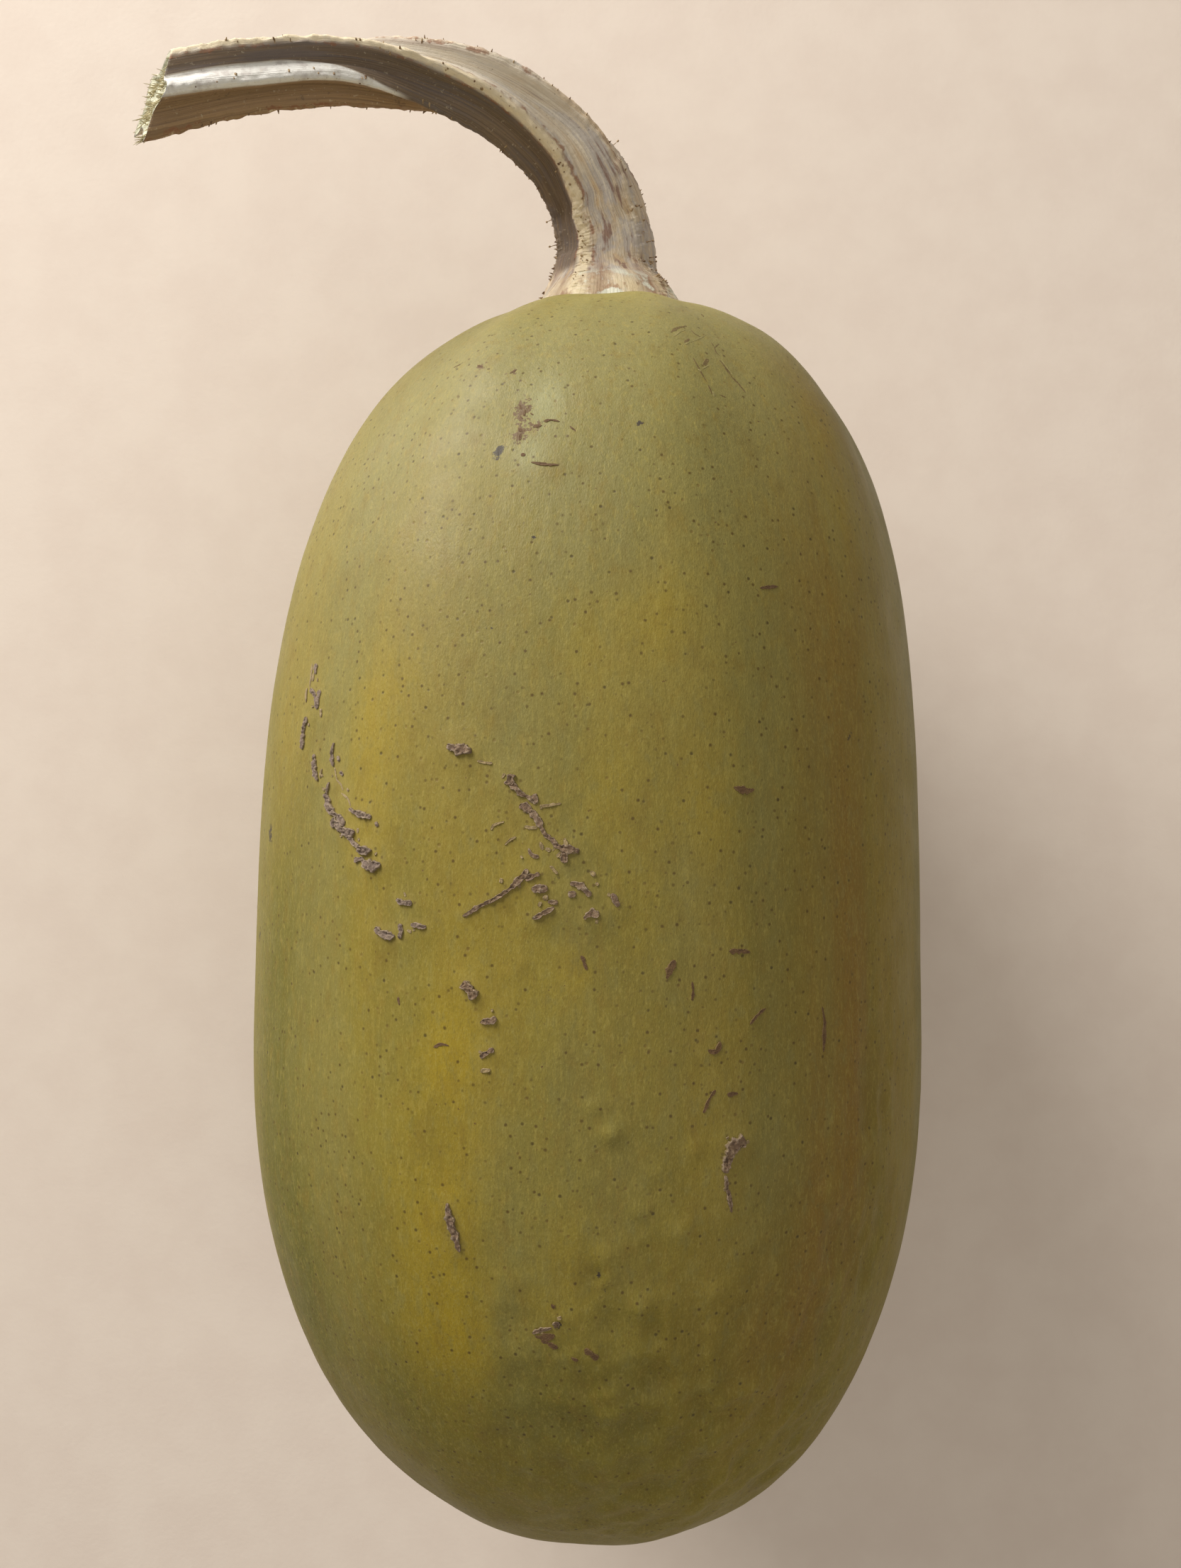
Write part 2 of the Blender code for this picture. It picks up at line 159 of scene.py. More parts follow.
# Corky marks: width and height in mm, then x and y of each pixel that it runs through
CORKY_MARKS = (
    (0.35, 0.12, 439, 937, 437, 954, 435, 970), (0.8, 0.22, 444, 938, 444, 948),
    (0.5, 0.15, 441, 950, 439, 959), (0.4, 0.15, 446, 957, 446, 960), (0.5, 0.2, 431, 972, 430, 989),
    (0.7, 0.25, 438, 972, 443, 981), (0.7, 0.25, 449, 975, 449, 983), (0.9, 0.3, 446, 984, 446, 997),
    (0.5, 0.2, 451, 1001, 451, 1010), (0.9, 0.4, 431, 1014, 428, 1030, 426, 1054),
    (1.0, 0.4, 443, 1067, 444, 1083, 447, 1098), (0.5, 0.25, 453, 1086, 451, 1096),
    (0.7, 0.35, 470, 1050, 467, 1063, 469, 1079), (0.25, 0.12, 471, 1083, 474, 1100, 479, 1106, 482, 1114),
    (0.25, 0.12, 480, 1119, 490, 1127, 494, 1137), (0.6, 0.25, 476, 1068, 477, 1072),
    (0.6, 0.25, 480, 1089, 482, 1092), (0.5, 0.2, 489, 1113, 490, 1115),
    (1.1, 0.45, 464, 1107, 461, 1122, 464, 1138, 474, 1149), (1.0, 0.4, 478, 1152, 484, 1162),
    (1.5, 0.5, 470, 1160, 478, 1165, 489, 1175, 497, 1174), (0.8, 0.4, 492, 1181, 500, 1190, 508, 1197),
    (1.2, 0.5, 508, 1198, 514, 1201, 521, 1200), (0.8, 0.4, 502, 1212, 511, 1211),
    (1.3, 0.5, 514, 1215, 521, 1221, 533, 1220), (0.9, 0.45, 495, 1142, 507, 1148, 521, 1152),
    (0.6, 0.25, 530, 1161, 531, 1164), (0.8, 0.35, 560, 1270, 566, 1273, 577, 1274),
    (1.0, 0.4, 531, 1312, 541, 1317, 553, 1320), (0.8, 0.35, 563, 1306, 565, 1314, 563, 1322),
    (0.7, 0.35, 580, 1305, 588, 1306, 597, 1308), (1.4, 0.55, 656, 1389, 660, 1397, 666, 1405),
    (0.9, 0.4, 679, 1443, 687, 1441, 696, 1439), (0.8, 0.3, 678, 1492, 685, 1486, 692, 1482),
    (0.5, 0.25, 677, 1513, 688, 1511), (1.2, 0.4, 632, 1053, 638, 1056, 644, 1060),
    (1.3, 0.5, 645, 1053, 652, 1058, 659, 1060), (0.4, 0.2, 672, 1073, 681, 1075, 691, 1076),
    (1.2, 0.5, 718, 1096, 718, 1103), (1.1, 0.45, 721, 1107, 731, 1118), (0.6, 0.3, 733, 1119, 750, 1127),
    (0.9, 0.3, 750, 1125, 755, 1130), (0.45, 0.2, 763, 1137, 776, 1136, 789, 1133),
    (1.1, 0.28, 735, 1138, 745, 1141), (0.9, 0.3, 747, 1144, 755, 1155, 762, 1164),
    (0.8, 0.3, 762, 1164, 767, 1176, 778, 1185, 786, 1195), (0.5, 0.2, 740, 1166, 747, 1168, 755, 1168),
    (1.3, 0.45, 789, 1195, 799, 1199, 806, 1198), (0.8, 0.35, 804, 1198, 814, 1200),
    (0.5, 0.35, 796, 1184, 799, 1194), (0.5, 0.25, 786, 1208, 791, 1202), (1.0, 0.4, 797, 1203, 796, 1214),
    (0.35, 0.18, 691, 1170, 694, 1164, 708, 1159), (0.35, 0.18, 711, 1191, 717, 1185, 725, 1181),
    (0.6, 0.2, 745, 1199, 748, 1206, 757, 1209), (0.4, 0.2, 761, 1189, 764, 1198),
    (0.5, 0.2, 770, 1198, 774, 1200), (0.5, 0.25, 776, 1223, 785, 1232),
    (0.55, 0.3, 652, 1292, 666, 1284, 680, 1276), (0.7, 0.4, 680, 1276, 702, 1265, 722, 1251),
    (0.9, 0.4, 722, 1251, 733, 1241, 741, 1229), (1.0, 0.35, 743, 1240, 750, 1236, 757, 1234),
    (1.1, 0.35, 753, 1254, 761, 1252, 768, 1254), (0.6, 0.25, 761, 1249, 763, 1258),
    (0.9, 0.3, 807, 1247, 820, 1251, 831, 1262), (0.9, 0.2, 804, 1261, 809, 1261),
    (0.5, 0.25, 834, 1231, 838, 1235), (0.9, 0.35, 753, 1295, 766, 1288, 778, 1282),
    (0.6, 0.3, 774, 1273, 784, 1274), (1.2, 0.35, 827, 1294, 834, 1289, 841, 1290),
    (0.9, 0.2, 865, 1264, 871, 1277), (2.0, 0.6, 1046, 1612, 1039, 1617, 1033, 1628),
    (1.1, 0.5, 1033, 1628, 1029, 1640, 1025, 1652),
    (0.7, 0.35, 1026, 1662, 1028, 1680, 1032, 1694, 1034, 1710),
    (1.2, 0.4, 629, 1704, 632, 1722, 638, 1742, 645, 1765), (0.6, 0.25, 751, 1887, 763, 1883, 775, 1879),
    (1.1, 0.35, 783, 1872, 784, 1877),
)

# Flat brown flecks, russet patches and scuffs: as above, in another finish
FLECKS = (
    (0.9, 0.12, 1040, 1111, 1051, 1114, 1063, 1114), (0.8, 0.12, 1033, 1342, 1045, 1341, 1057, 1343),
    (1.1, 0.12, 944, 1378, 947, 1370, 952, 1359), (0.5, 0.1, 979, 1388, 980, 1398, 979, 1411),
    (0.6, 0.12, 1061, 1444, 1069, 1434, 1080, 1424), (0.8, 0.14, 1004, 1483, 1013, 1484, 1017, 1473),
    (0.6, 0.12, 1011, 1541, 1004, 1552, 996, 1570), (0.5, 0.1, 1030, 1545, 1042, 1544),
    (0.5, 0.1, 1076, 828, 1088, 827, 1099, 826), (0.45, 0.12, 768, 591, 778, 590, 788, 592),
    (0.5, 0.14, 750, 649, 768, 652, 786, 653), (0.3, 0.08, 804, 599, 811, 605),
    (0.4, 0.05, 641, 518, 649, 514), (0.4, 0.05, 673, 514, 679, 515), (0.3, 0.05, 718, 521, 727, 516),
    (0.4, 0.06, 732, 567, 734, 572), (0.45, 0.07, 740, 575, 738, 581), (0.3, 0.05, 733, 583, 736, 586),
    (0.3, 0.05, 748, 579, 751, 581), (0.5, 0.08, 753, 598, 762, 597), (0.4, 0.06, 731, 601, 735, 604),
    (0.45, 0.07, 733, 609, 732, 616), (0.4, 0.06, 735, 637, 739, 638),
    (1.1, 0.12, 828, 1909, 835, 1914, 840, 1920), (1.0, 0.08, 757, 1892, 766, 1893, 778, 1890),
    (0.9, 0.08, 765, 1899, 775, 1902, 783, 1907), (0.7, 0.12, 808, 1920, 813, 1923),
    (0.5, 0.1, 778, 1846, 780, 1849), (0.5, 0.1, 820, 1351, 824, 1358, 827, 1368),
    (0.7, 0.1, 1162, 1423, 1165, 1445, 1164, 1482), (0.4, 0.1, 610, 1478, 620, 1474, 629, 1476),
    (0.4, 0.1, 560, 1408, 561, 1417), (0.5, 0.12, 657, 455, 668, 449, 681, 444),
)

# Thin cracks and fine creases in the skin by the stem, drawn as dark lines (partly the cracks, partly the
# painted shadows of the folds) and painted highlights on the folds' lips: width, height and pixels of their
# dark lines, then of their painted highlight lips
CRACKS_AND_CREASE_SHADOWS = (
    (0.55, 0.03, 949, 462, 957, 457, 970, 455), (0.5, 0.03, 969, 477, 974, 473),
    (0.2, 0.03, 977, 460, 982, 466, 991, 471), (0.25, 0.03, 1005, 479, 1010, 487, 1012, 493, 1017, 498),
    (0.2, 0.03, 1010, 487, 1016, 482), (0.8, 0.02, 996, 509, 1001, 503),
    (0.3, 0.03, 981, 500, 989, 514, 993, 522, 1000, 533), (0.25, 0.03, 1003, 539, 1008, 551),
    (0.35, 0.03, 1018, 505, 1027, 517, 1036, 530), (0.5, 0.03, 1036, 530, 1044, 538, 1053, 550),
    (0.3, 0.03, 1020, 553, 1026, 556), (0.5, 0.03, 991, 441, 993, 444), (0.5, 0.03, 1049, 453, 1052, 454),
)
CREASE_LIP_HIGHLIGHTS = (
    (0.3, 0.05, 953, 468, 959, 463, 969, 460), (0.25, 0.05, 969, 480, 974, 477),
    (0.2, 0.05, 977, 477, 991, 472, 998, 468), (0.3, 0.05, 995, 515, 1003, 510),
    (0.2, 0.05, 1020, 504, 1029, 516, 1038, 528), (0.35, 0.07, 1010, 548, 1011, 554),
    (0.3, 0.05, 990, 516, 991, 518),
)

# How the marks are laid out: steps along them in mm, and the shares of their half width across them
MARK_STEP = 0.8
MARK_GRID = 0.12
MARK_APART = 7.3
ROOT_DEPTH = 0.3
NEAR_MARK = 8.0
MARK_SHARES = (-1.0, -0.93, -0.8, -0.64, -0.48, -0.32, -0.16, 0.0, 0.16, 0.32, 0.48, 0.64, 0.8, 0.93, 1.0)
CRUMBS_PER_STEP = 0.2
STRAY_SCUFFS = 56
SWELLING = 0.42
SLIM_WIDTH = 0.55

# Screen colours of the marks' finishes: main, warm, pale (also painted on their highest parts as a highlight),
# dark (also painted in their low parts as shade) and that of slim ones
CORK_COLOURS = ((107, 90, 79), (110, 84, 58), (146, 129, 108), (58, 44, 34), (148, 129, 86))
SCUFF_COLOURS = ((94, 68, 42), (92, 66, 38), (118, 94, 58), (58, 40, 24), (88, 64, 38))
# Thin cracks, and painted shadows of the folds by the stem
CRACK_AND_CREASE_SHADOW_COLOURS = ((100, 82, 42), (98, 80, 40), (112, 96, 52), (80, 64, 34), (98, 80, 40))
SCAR_COLOURS = ((116, 94, 62), (112, 90, 56), (148, 128, 92), (64, 48, 30), (116, 94, 62))
# Painted highlights on the folds' lips
CREASE_LIP_HIGHLIGHT_COLOURS = ((136, 127, 76), (136, 127, 76), (148, 139, 90), (116, 106, 58), (138, 128, 78))

# Pimples and pits: x and y of the pixel, radius and height in mm
PIMPLES = (
    (864, 1602, 1.3, 0.75), (718, 1376, 0.8, 0.25), (736, 1360, 0.8, 0.2), (841, 1565, 1.0, 0.4),
    (984, 1627, 1.1, 0.35), (907, 1713, 1.4, 0.45), (907, 1852, 1.8, 0.7), (965, 1741, 2.2, 0.5),
    (852, 1777, 1.4, 0.35), (930, 1660, 1.2, 0.3), (1010, 1830, 1.6, 0.4), (1130, 1621, 0.7, 0.3),
    (781, 1245, 0.5, -0.6), (843, 1806, 0.7, -0.6), (851, 1825, 0.5, -0.4), (787, 1876, 0.7, -0.5),
    (793, 1909, 0.4, -0.4), (641, 1787, 0.35, -0.3), (835, 1292, 0.4, -0.4), (768, 1934, 0.5, -0.3),
    (849, 1951, 0.6, -0.3), (868, 1941, 0.5, -0.3),
)

# Patches of the rind's tints: x and y of the pixel, half width across and along in mm, strength
PATCHES = {
    "ochre": (
        (910, 868, 5, 8, 0.4), (950, 824, 4, 9, 0.3), (800, 910, 7, 8, 0.35), (555, 940, 6, 11, 0.55),
        (820, 1385, 5, 6, 0.75), (627, 1540, 6, 14, 0.9), (600, 1700, 7, 12, 0.8), (640, 1900, 8, 10, 0.8),
        (978, 1167, 5, 8, 0.45), (1183, 680, 5, 16, 0.5), (860, 1120, 5, 8, 0.35), (520, 1060, 5, 12, 0.4),
        (900, 1450, 9, 16, 0.35), (770, 1800, 9, 9, 0.55),
    ),
    "grey_green": (
        # The first grey-green patch, at 745, 560, is painted sheen; the others are bands of the rind's own
        # colour.
        (745, 560, 5, 10, 0.7), (900, 640, 7, 16, 0.5), (1010, 620, 5, 18, 0.5), (730, 1030, 6, 12, 0.55),
        (1080, 1040, 4, 24, 0.4), (980, 1295, 5, 13, 0.5), (712, 1780, 4, 22, 0.65),
        (1070, 1650, 6, 12, 0.5), (720, 780, 6, 20, 0.4),
    ),
    "green": (
        (390, 1350, 9, 18, 0.75), (385, 1600, 9, 20, 1.0), (420, 1800, 9, 16, 1.0), (560, 1980, 9, 10, 0.5),
        (800, 2000, 14, 8, 0.35),
    ),
    # Brown patches down the right side: partly the rind's brown streaks, partly painted shade of the side away
    # from the light.
    "brown": (
        (1170, 600, 8, 16, 0.45), (1180, 850, 10, 24, 0.5), (1190, 1150, 11, 26, 0.5),
        (1210, 1450, 12, 24, 0.6), (1180, 1720, 12, 18, 0.55), (1110, 1900, 12, 14, 0.4),
    ),
    # Pale patches on the top: painted sheen.
    "pale": (
        (770, 565, 3.0, 4.5, 0.6), (742, 640, 2.5, 3.5, 0.5),
    ),
    "bruise": (
        (703, 629, 0.7, 0.8, 0.8), (699, 636, 0.6, 0.9, 0.7), (902, 590, 0.6, 0.6, 0.8),
        (843, 1806, 0.5, 0.6, 0.8), (851, 1825, 0.4, 0.5, 0.7), (781, 1245, 0.5, 0.5, 0.8),
        (787, 1876, 0.7, 0.6, 0.9), (835, 1292, 0.4, 0.4, 0.7), (750, 757, 0.5, 0.5, 0.7),
        (687, 880, 1.4, 0.7, 0.35), (1201, 1036, 0.35, 0.35, 1.0), (381, 1175, 1.2, 2.0, 0.6),
        (366, 1320, 1.0, 1.2, 0.6),
    ),
    "russet": (
        (736, 574, 1.3, 1.9, 1.0), (733, 608, 1.1, 2.0, 0.95), (757, 597, 1.1, 0.8, 0.9),
        (677, 514, 1.0, 0.8, 0.7), (722, 519, 1.1, 0.8, 0.6),
    ),
}


def smooth_step(value):
    """A soft ramp that is 0 up to 0 and 1 from 1."""
    value = np.clip(value, 0.0, 1.0)
    return value * value * (3.0 - 2.0 * value)


def bell(distance, spread):
    """1 at no distance, falling off smoothly over a spread."""
    return np.exp(-((distance / spread) ** 2))


def unit(vectors):
    return vectors / np.maximum(np.linalg.norm(vectors, axis=-1, keepdims=True), 1e-12)


def noise_at(points, cell, seed):
    """Smooth noise from -1 to 1 at each point, with one random value at each corner of a grid of cells."""
    places = np.asarray(points, dtype=float) / cell
    corner = np.floor(places).astype(np.int64)
    share = smooth_step(places - corner)
    total = np.zeros(places.shape[:-1])
    for step in range(8):
        offset = np.array((step & 1, step >> 1 & 1, step >> 2 & 1))
        x, y, z = np.moveaxis(corner + offset, -1, 0)
        mixed = (x * 374761393 + y * 668265263 + z * 1440662683 + seed * 974634777) & 0xFFFFFFFF
        mixed = ((mixed ^ (mixed >> 13)) * 1274126177) & 0xFFFFFFFF
        mixed = ((mixed ^ (mixed >> 15)) * 2246822519) & 0xFFFFFFFF
        value = ((mixed ^ (mixed >> 16)) & 0xFFFFFFFF) / 0x7FFFFFFF - 1.0
        total += value * np.prod(np.where(offset == 1, share, 1.0 - share), axis=-1)
    return total


def layers(points, rows):
    """Sum of several layers of noise."""
    return sum(high * noise_at(points * (1, squeeze, 1), cell, seed) for high, squeeze, cell, seed in rows)


def axis_x(y):
    """The fruit's axis bows a little towards +X at its ends."""
    return BOW * ((y - BOW_START) / BOW_SPAN) ** 2


def radius_at(y):
    """Radius of the fruit's outline at station y, with no lobes."""
    y = np.asarray(y, dtype=float)
    stem_side = y > WIDEST_Y
    half = np.where(stem_side, FRUIT_LENGTH / 2 - WIDEST_Y, FRUIT_LENGTH / 2 + WIDEST_Y)
    long_power = np.where(stem_side, STEM_POWERS[0], BLOSSOM_POWERS[0])
    round_power = np.where(stem_side, STEM_POWERS[1], BLOSSOM_POWERS[1])
    share = np.minimum(np.abs(y - WIDEST_Y) / half, 1.0)
    belly = BELLY_HEIGHT * bell(y - BELLY_Y, BELLY_SPAN)
    return FRUIT_RADIUS * (1 - share**long_power) ** (1 / round_power) + belly


def lobe_height(y, angle):
    """How far the fruit's lengthwise lobes stand out, in step with the ridges of the stem's foot."""
    shoulder = smooth_step((y - SHOULDER_START_Y) / (FRUIT_LENGTH / 2 - SHOULDER_START_Y))
    height = LOBE_HEIGHT + (SHOULDER_LOBE_HEIGHT - LOBE_HEIGHT) * shoulder
    return height * np.cos(LOBES * (angle - math.radians(STEM_ROUTE[0][5])))


def outline_stations(count):
    """Stations evenly spaced along the fruit's outline, from the blossom end to the edge of the seat."""
    y = -np.cos(np.linspace(0, math.pi, OUTLINE_POINTS)) * FRUIT_LENGTH / 2
    radius = radius_at(y)
    seat = np.flatnonzero((y < 0) | (radius > SEAT_RADIUS))[-1]
    y, radius = y[: seat + 1], radius[: seat + 1]
    length = np.concatenate(([0.0], np.cumsum(np.hypot(np.diff(y), np.diff(radius)))))
    return np.interp(np.linspace(0, length[-1], count + 1)[1:], length, y)


def column_angles(count):
    """Angles round the fruit from straight up, closer together on the side that shows from above."""
    angle = np.linspace(-math.pi, math.pi, ROUND_POINTS)
    crowding = 1 - (1 - SHARE_AWAY_FROM_TOP) * smooth_step((np.abs(angle) - TOP_ANGLE) / 0.5)
    total = np.concatenate(([0.0], np.cumsum((crowding[1:] + crowding[:-1]) / 2 * np.diff(angle))))
    return np.interp(np.arange(count) / count * total[-1], total, angle)


def skin_base(y, angle):
    """Points of the skin before its fine relief."""
    radius = radius_at(y)
    reach = radius + lobe_height(y, angle) * np.minimum(1.0, radius / SEAT_RADIUS)
    return np.stack((axis_x(y) + reach * np.sin(angle), y, AXIS_HEIGHT + reach * np.cos(angle)), axis=-1)


def skin_at_pixel(pixel):
    """Station and angle of the skin that shows at a pixel of the picture."""
    shift = (np.array(pixel, dtype=float) - CENTRE_PIXEL) / FOCAL_PIXELS * (1, -1)
    high, low = AXIS_HEIGHT + FRUIT_RADIUS + 2.0, AXIS_HEIGHT
    for _ in range(HALVINGS):
        z = (high + low) / 2
        x, y = EYE[:2] + shift * (EYE[2] - z)
        angle = math.atan2(x - axis_x(y), z - AXIS_HEIGHT)
        reach = float(radius_at(y) + lobe_height(y, angle))
        if math.hypot(x - axis_x(y), z - AXIS_HEIGHT) > reach:
            high = z
        else:
            low = z
    return y, angle


def skin_normal(y, angle):
    """Outward direction of the skin at stations and angles."""
    step_y, step_angle = 0.3, 0.005
    along = skin_base(y + step_y, angle) - skin_base(y - step_y, angle)
    around = skin_base(y, angle + step_angle) - skin_base(y, angle - step_angle)
    return unit(np.cross(around, along))


def extended(points):
    """Points with one more beyond each end, as the curve through them needs."""
    points = np.array(points, dtype=float)
    return np.vstack((2 * points[0] - points[1], points, 2 * points[-1] - points[-2]))


def curve_between(before, start, end, after, share):
    """Where a smooth curve from start to end is at a share of the way, given the points beside them."""
    return 0.5 * (
        2 * start
        + (end - before) * share
        + (2 * before - 5 * start + 4 * end - after) * share**2
        + (3 * start - before - 3 * end + after) * share**3
    )


def through(points, spacing):
    """A smooth line through a few points, at an even spacing."""
    places = extended(points)
    line = []
    for four in zip(places, places[1:], places[2:], places[3:]):
        count = max(2, int(np.linalg.norm(four[2] - four[1]) / spacing))
        line += [curve_between(*four, share) for share in np.arange(count) / count]
    return np.array([*line, places[-2]])


class Mark:
    """A mark on the skin: its width and height, and the line that it follows."""

    def __init__(self, width, height, places):
        self.width = width
        self.height = height
        scale = np.array((1.0, FRUIT_RADIUS))
        self.y, self.angle = (through(np.array(places) * scale, MARK_STEP) / scale).T
        self.line = skin_base(self.y, self.angle)

    def gaps(self, points):
        """Which points lie near the mark, and how far each of them is from its line."""
        middle = self.line.mean(axis=0)
        reach = np.linalg.norm(self.line - middle, axis=1).max() + NEAR_MARK
        near = np.flatnonzero(np.linalg.norm(points - middle, axis=1) < reach)
        if not len(near):
            return near, np.zeros(0)
        return near, np.linalg.norm(points[near][:, None] - self.line[None], axis=2).min(axis=1)


def lay_marks(rows):
    """Marks from their widths, heights and pixels."""
    return [
        Mark(width, height, [skin_at_pixel(pixel) for pixel in zip(numbers[::2], numbers[1::2])])
        for width, height, *numbers in rows
    ]


def stray_scuffs():
    """Small scuffs scattered over the sides and below, clear of the spot that the fruit rests on."""
    draw = random.Random(7)
    scuffs = []
    for number in range(STRAY_SCUFFS):
        y = draw.uniform(-96, 92)
        angle = draw.uniform(1.35, 2.75) * (1 if number % 2 else -1)
        length = draw.uniform(0.4, 2.6)
        lean = draw.gauss(0.0, 0.7)
        end = (y + length * math.cos(lean), angle + length * math.sin(lean) / FRUIT_RADIUS)
        scuffs.append(Mark(draw.uniform(0.3, 0.75), draw.uniform(0.06, 0.13), [(y, angle), end]))
    return scuffs


def crumbs_beside(mark):
    """Small corky crumbs scattered beside a mark, the more the wider it is."""
    crumbs = []
    for _ in range(round(len(mark.y) * mark.width * CRUMBS_PER_STEP)):
        step = DRAW.randrange(len(mark.y))
        away = mark.width / 2 + DRAW.uniform(0.3, 1.5)
        turn = DRAW.uniform(0, math.tau)
        y = mark.y[step] + away * math.cos(turn)
        angle = mark.angle[step] + away * math.sin(turn) / FRUIT_RADIUS
        length = DRAW.uniform(0.15, 0.5)
        lean = DRAW.uniform(0, math.tau)
        end = (y + length * math.cos(lean), angle + length * math.sin(lean) / FRUIT_RADIUS)
        crumbs.append(Mark(DRAW.uniform(0.3, 0.5), DRAW.uniform(0.12, 0.28), [(y, angle), end]))
    return crumbs


def patch_sum(y, angle, patches):
    """Sum of soft patches at stations and angles, each measured along the skin."""
    total = np.zeros(np.shape(y))
    for *pixel, across, along, strength in patches:
        middle_y, middle_angle = skin_at_pixel(pixel)
        aside = (angle - middle_angle) * radius_at(middle_y)
        total += strength * bell(aside, across) * bell(y - middle_y, along)
    return total


def skin_relief(y, angle):
    """How far the skin stands off its plain form: swellings at the marks, pimples, pits and wrinkles."""
    points = skin_base(y, angle)
    flat = points.reshape(-1, 3)
    top_sink = TOP_SINK * bell(angle, TOP_SINK_SPREAD) * radius_at(y) / FRUIT_RADIUS
    height = layers(flat, SKIN_WAVES) - SKIN_SINK - top_sink.reshape(-1)
    swelling = np.zeros(len(flat))
    moat = np.zeros(len(flat))
    for mark in MAIN_CORKS + SCUFFS:
        near, gaps = mark.gaps(flat)
        size = SWELLING * min(1.0, mark.width) * (0.3 + mark.height)
        swelling[near] = np.maximum(swelling[near], size * bell(gaps, 1.6 + mark.width / 2))
        moat[near] = np.maximum(moat[near], 0.35 * size * bell(gaps - mark.width * 0.75, 0.45))
    height += swelling - moat
    for *pixel, radius, top in PIMPLES:
        middle = skin_base(*(np.array(value) for value in skin_at_pixel(pixel)))
        height += top * bell(np.linalg.norm(flat - middle, axis=1), radius)
    height = height.reshape(np.shape(y)) + shoulder_folds(y, angle)
    return height + leather(y, angle) * leathery_relief(points)


def shoulder_folds(y, angle):
    """Uneven lengthwise folds that gather towards the stem and die away down the fruit."""
    gathered = smooth_step((y - FOLDS_START_Y) / FOLDS_SPAN)
    folds = np.cos(10 * angle + 0.9 + 0.5 * np.sin(2 * angle)) * 0.28 + np.cos(17 * angle + 2.0) * 0.12
    faint = 0.09 * np.cos(13 * angle + 0.6 * np.sin(y / 30) + 1.0)
    return gathered * folds + (1 - gathered) * faint * smooth_step((y - BLOSSOM_CALM_Y) / 30)


def leather(y, angle):
    """Where the skin is leathery: on the right of the blossom end, seen from above, and round below it."""
    facing_up = skin_normal(y, angle)[..., 2]
    across = smooth_step((angle + 0.5) / 0.7) * smooth_step((1.15 - angle) / 0.5)
    across = across * smooth_step((facing_up - 0.4) / 0.3)
    start = LEATHER_START_Y + 40 * smooth_step((angle - 0.4) / 0.5)
    share = LEATHER_ELSEWHERE + (1 - LEATHER_ELSEWHERE) * across
    return smooth_step((start - y) / 40) * smooth_step((y - LEATHER_END_Y) / 30) * share


def leathery_relief(points):
    """Dimples and short wrinkles."""
    wrinkles = 1 - np.abs(noise_at(points * (1, 0.38, 1), 3.4, 5)) * 2
    return layers(points, DIMPLES) + 0.46 * (wrinkles - 0.45)


def mesh_piece(name, points, faces, material, values=None):
    """An object from points in mm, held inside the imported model's box, with named values for its material."""
    data = bpy.data.meshes.new(name)
    inside = np.clip(np.asarray(points) * MM, LOWEST, HIGHEST)
    data.from_pydata(inside.tolist(), [], faces)
    for value_name, value in (values or {}).items():
        layer = data.attributes.new(value_name, "FLOAT", "POINT")
        layer.data.foreach_set("value", np.asarray(value, dtype=np.float32).reshape(-1))
    data.materials.append(material)
    data.shade_smooth()
    data.validate()
    piece = bpy.data.objects.new(name, data)
    bpy.context.scene.collection.objects.link(piece)
    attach(piece, "root")
    return piece


def grid_faces(rows, columns, closed=True):
    """Faces between rows of points, each row closed into a ring or open."""
    faces = []
    for low in range(0, (rows - 1) * columns, columns):
        for column in range(columns if closed else columns - 1):
            ahead = low + (column + 1) % columns
            faces.append((low + column, ahead, ahead + columns, low + column + columns))
    return faces


def fan(first, count, centre):
    """Faces from a ring of points to the one that closes it."""
    return [(first + step, first + (step + 1) % count, centre) for step in range(count)]


def build_rind(material):
    """The fruit's skin: a fine grid with its relief, flat where it rests."""
    stations = outline_stations(RIND_ROWS)
    y, angle = np.meshgrid(stations, column_angles(RIND_COLUMNS), indexing="ij")
    relief = skin_relief(y, angle) * smooth_step((stations[-1] - y) / 6.0)
    points = skin_base(y, angle) + skin_normal(y, angle) * relief[..., None]
    resting = smooth_step((points[..., 2] + 0.4) / 1.2)
    points[..., 2] = np.where(points[..., 2] < 0.8, points[..., 2] * resting, points[..., 2])
    points[..., 2] = np.maximum(points[..., 2], 0.0)
    flat = points.reshape(-1, 3)
    ends = [(axis_x(end), end, AXIS_HEIGHT) for end in (-FRUIT_LENGTH / 2, stations[-1])]
    faces = grid_faces(RIND_ROWS, RIND_COLUMNS)
    faces += [face[::-1] for face in fan(0, RIND_COLUMNS, len(flat))]
    faces += fan((RIND_ROWS - 1) * RIND_COLUMNS, RIND_COLUMNS, len(flat) + 1)
    values = {name: patch_sum(y, angle, patches) for name, patches in PATCHES.items()}
    # The leathery relief's height, also the mask for painted shade in its hollows and painted highlight on its
    # tops.
    values["leathery"] = leather(y, angle) * leathery_relief(skin_base(y, angle))
    # Painted highlight: the rind round the corky marks is painted paler where it swells.
    values["painted_swell_highlight"] = mark_closeness(flat)
    values = {name: np.append(value.reshape(-1), (0.0, 0.0)) for name, value in values.items()}
    rind = mesh_piece("squash_rind", np.vstack((flat, ends)), faces, material, values)
    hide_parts("squash_fruit")


def mark_closeness(points):
    """1 at the edge of a corky mark, fading to 0 about 3 mm away."""
    closeness = np.zeros(len(points))
    for mark in MAIN_CORKS:
        near, gaps = mark.gaps(points)
        closeness[near] = np.maximum(closeness[near], bell(gaps, mark.width / 2 + 1.0))
    return closeness


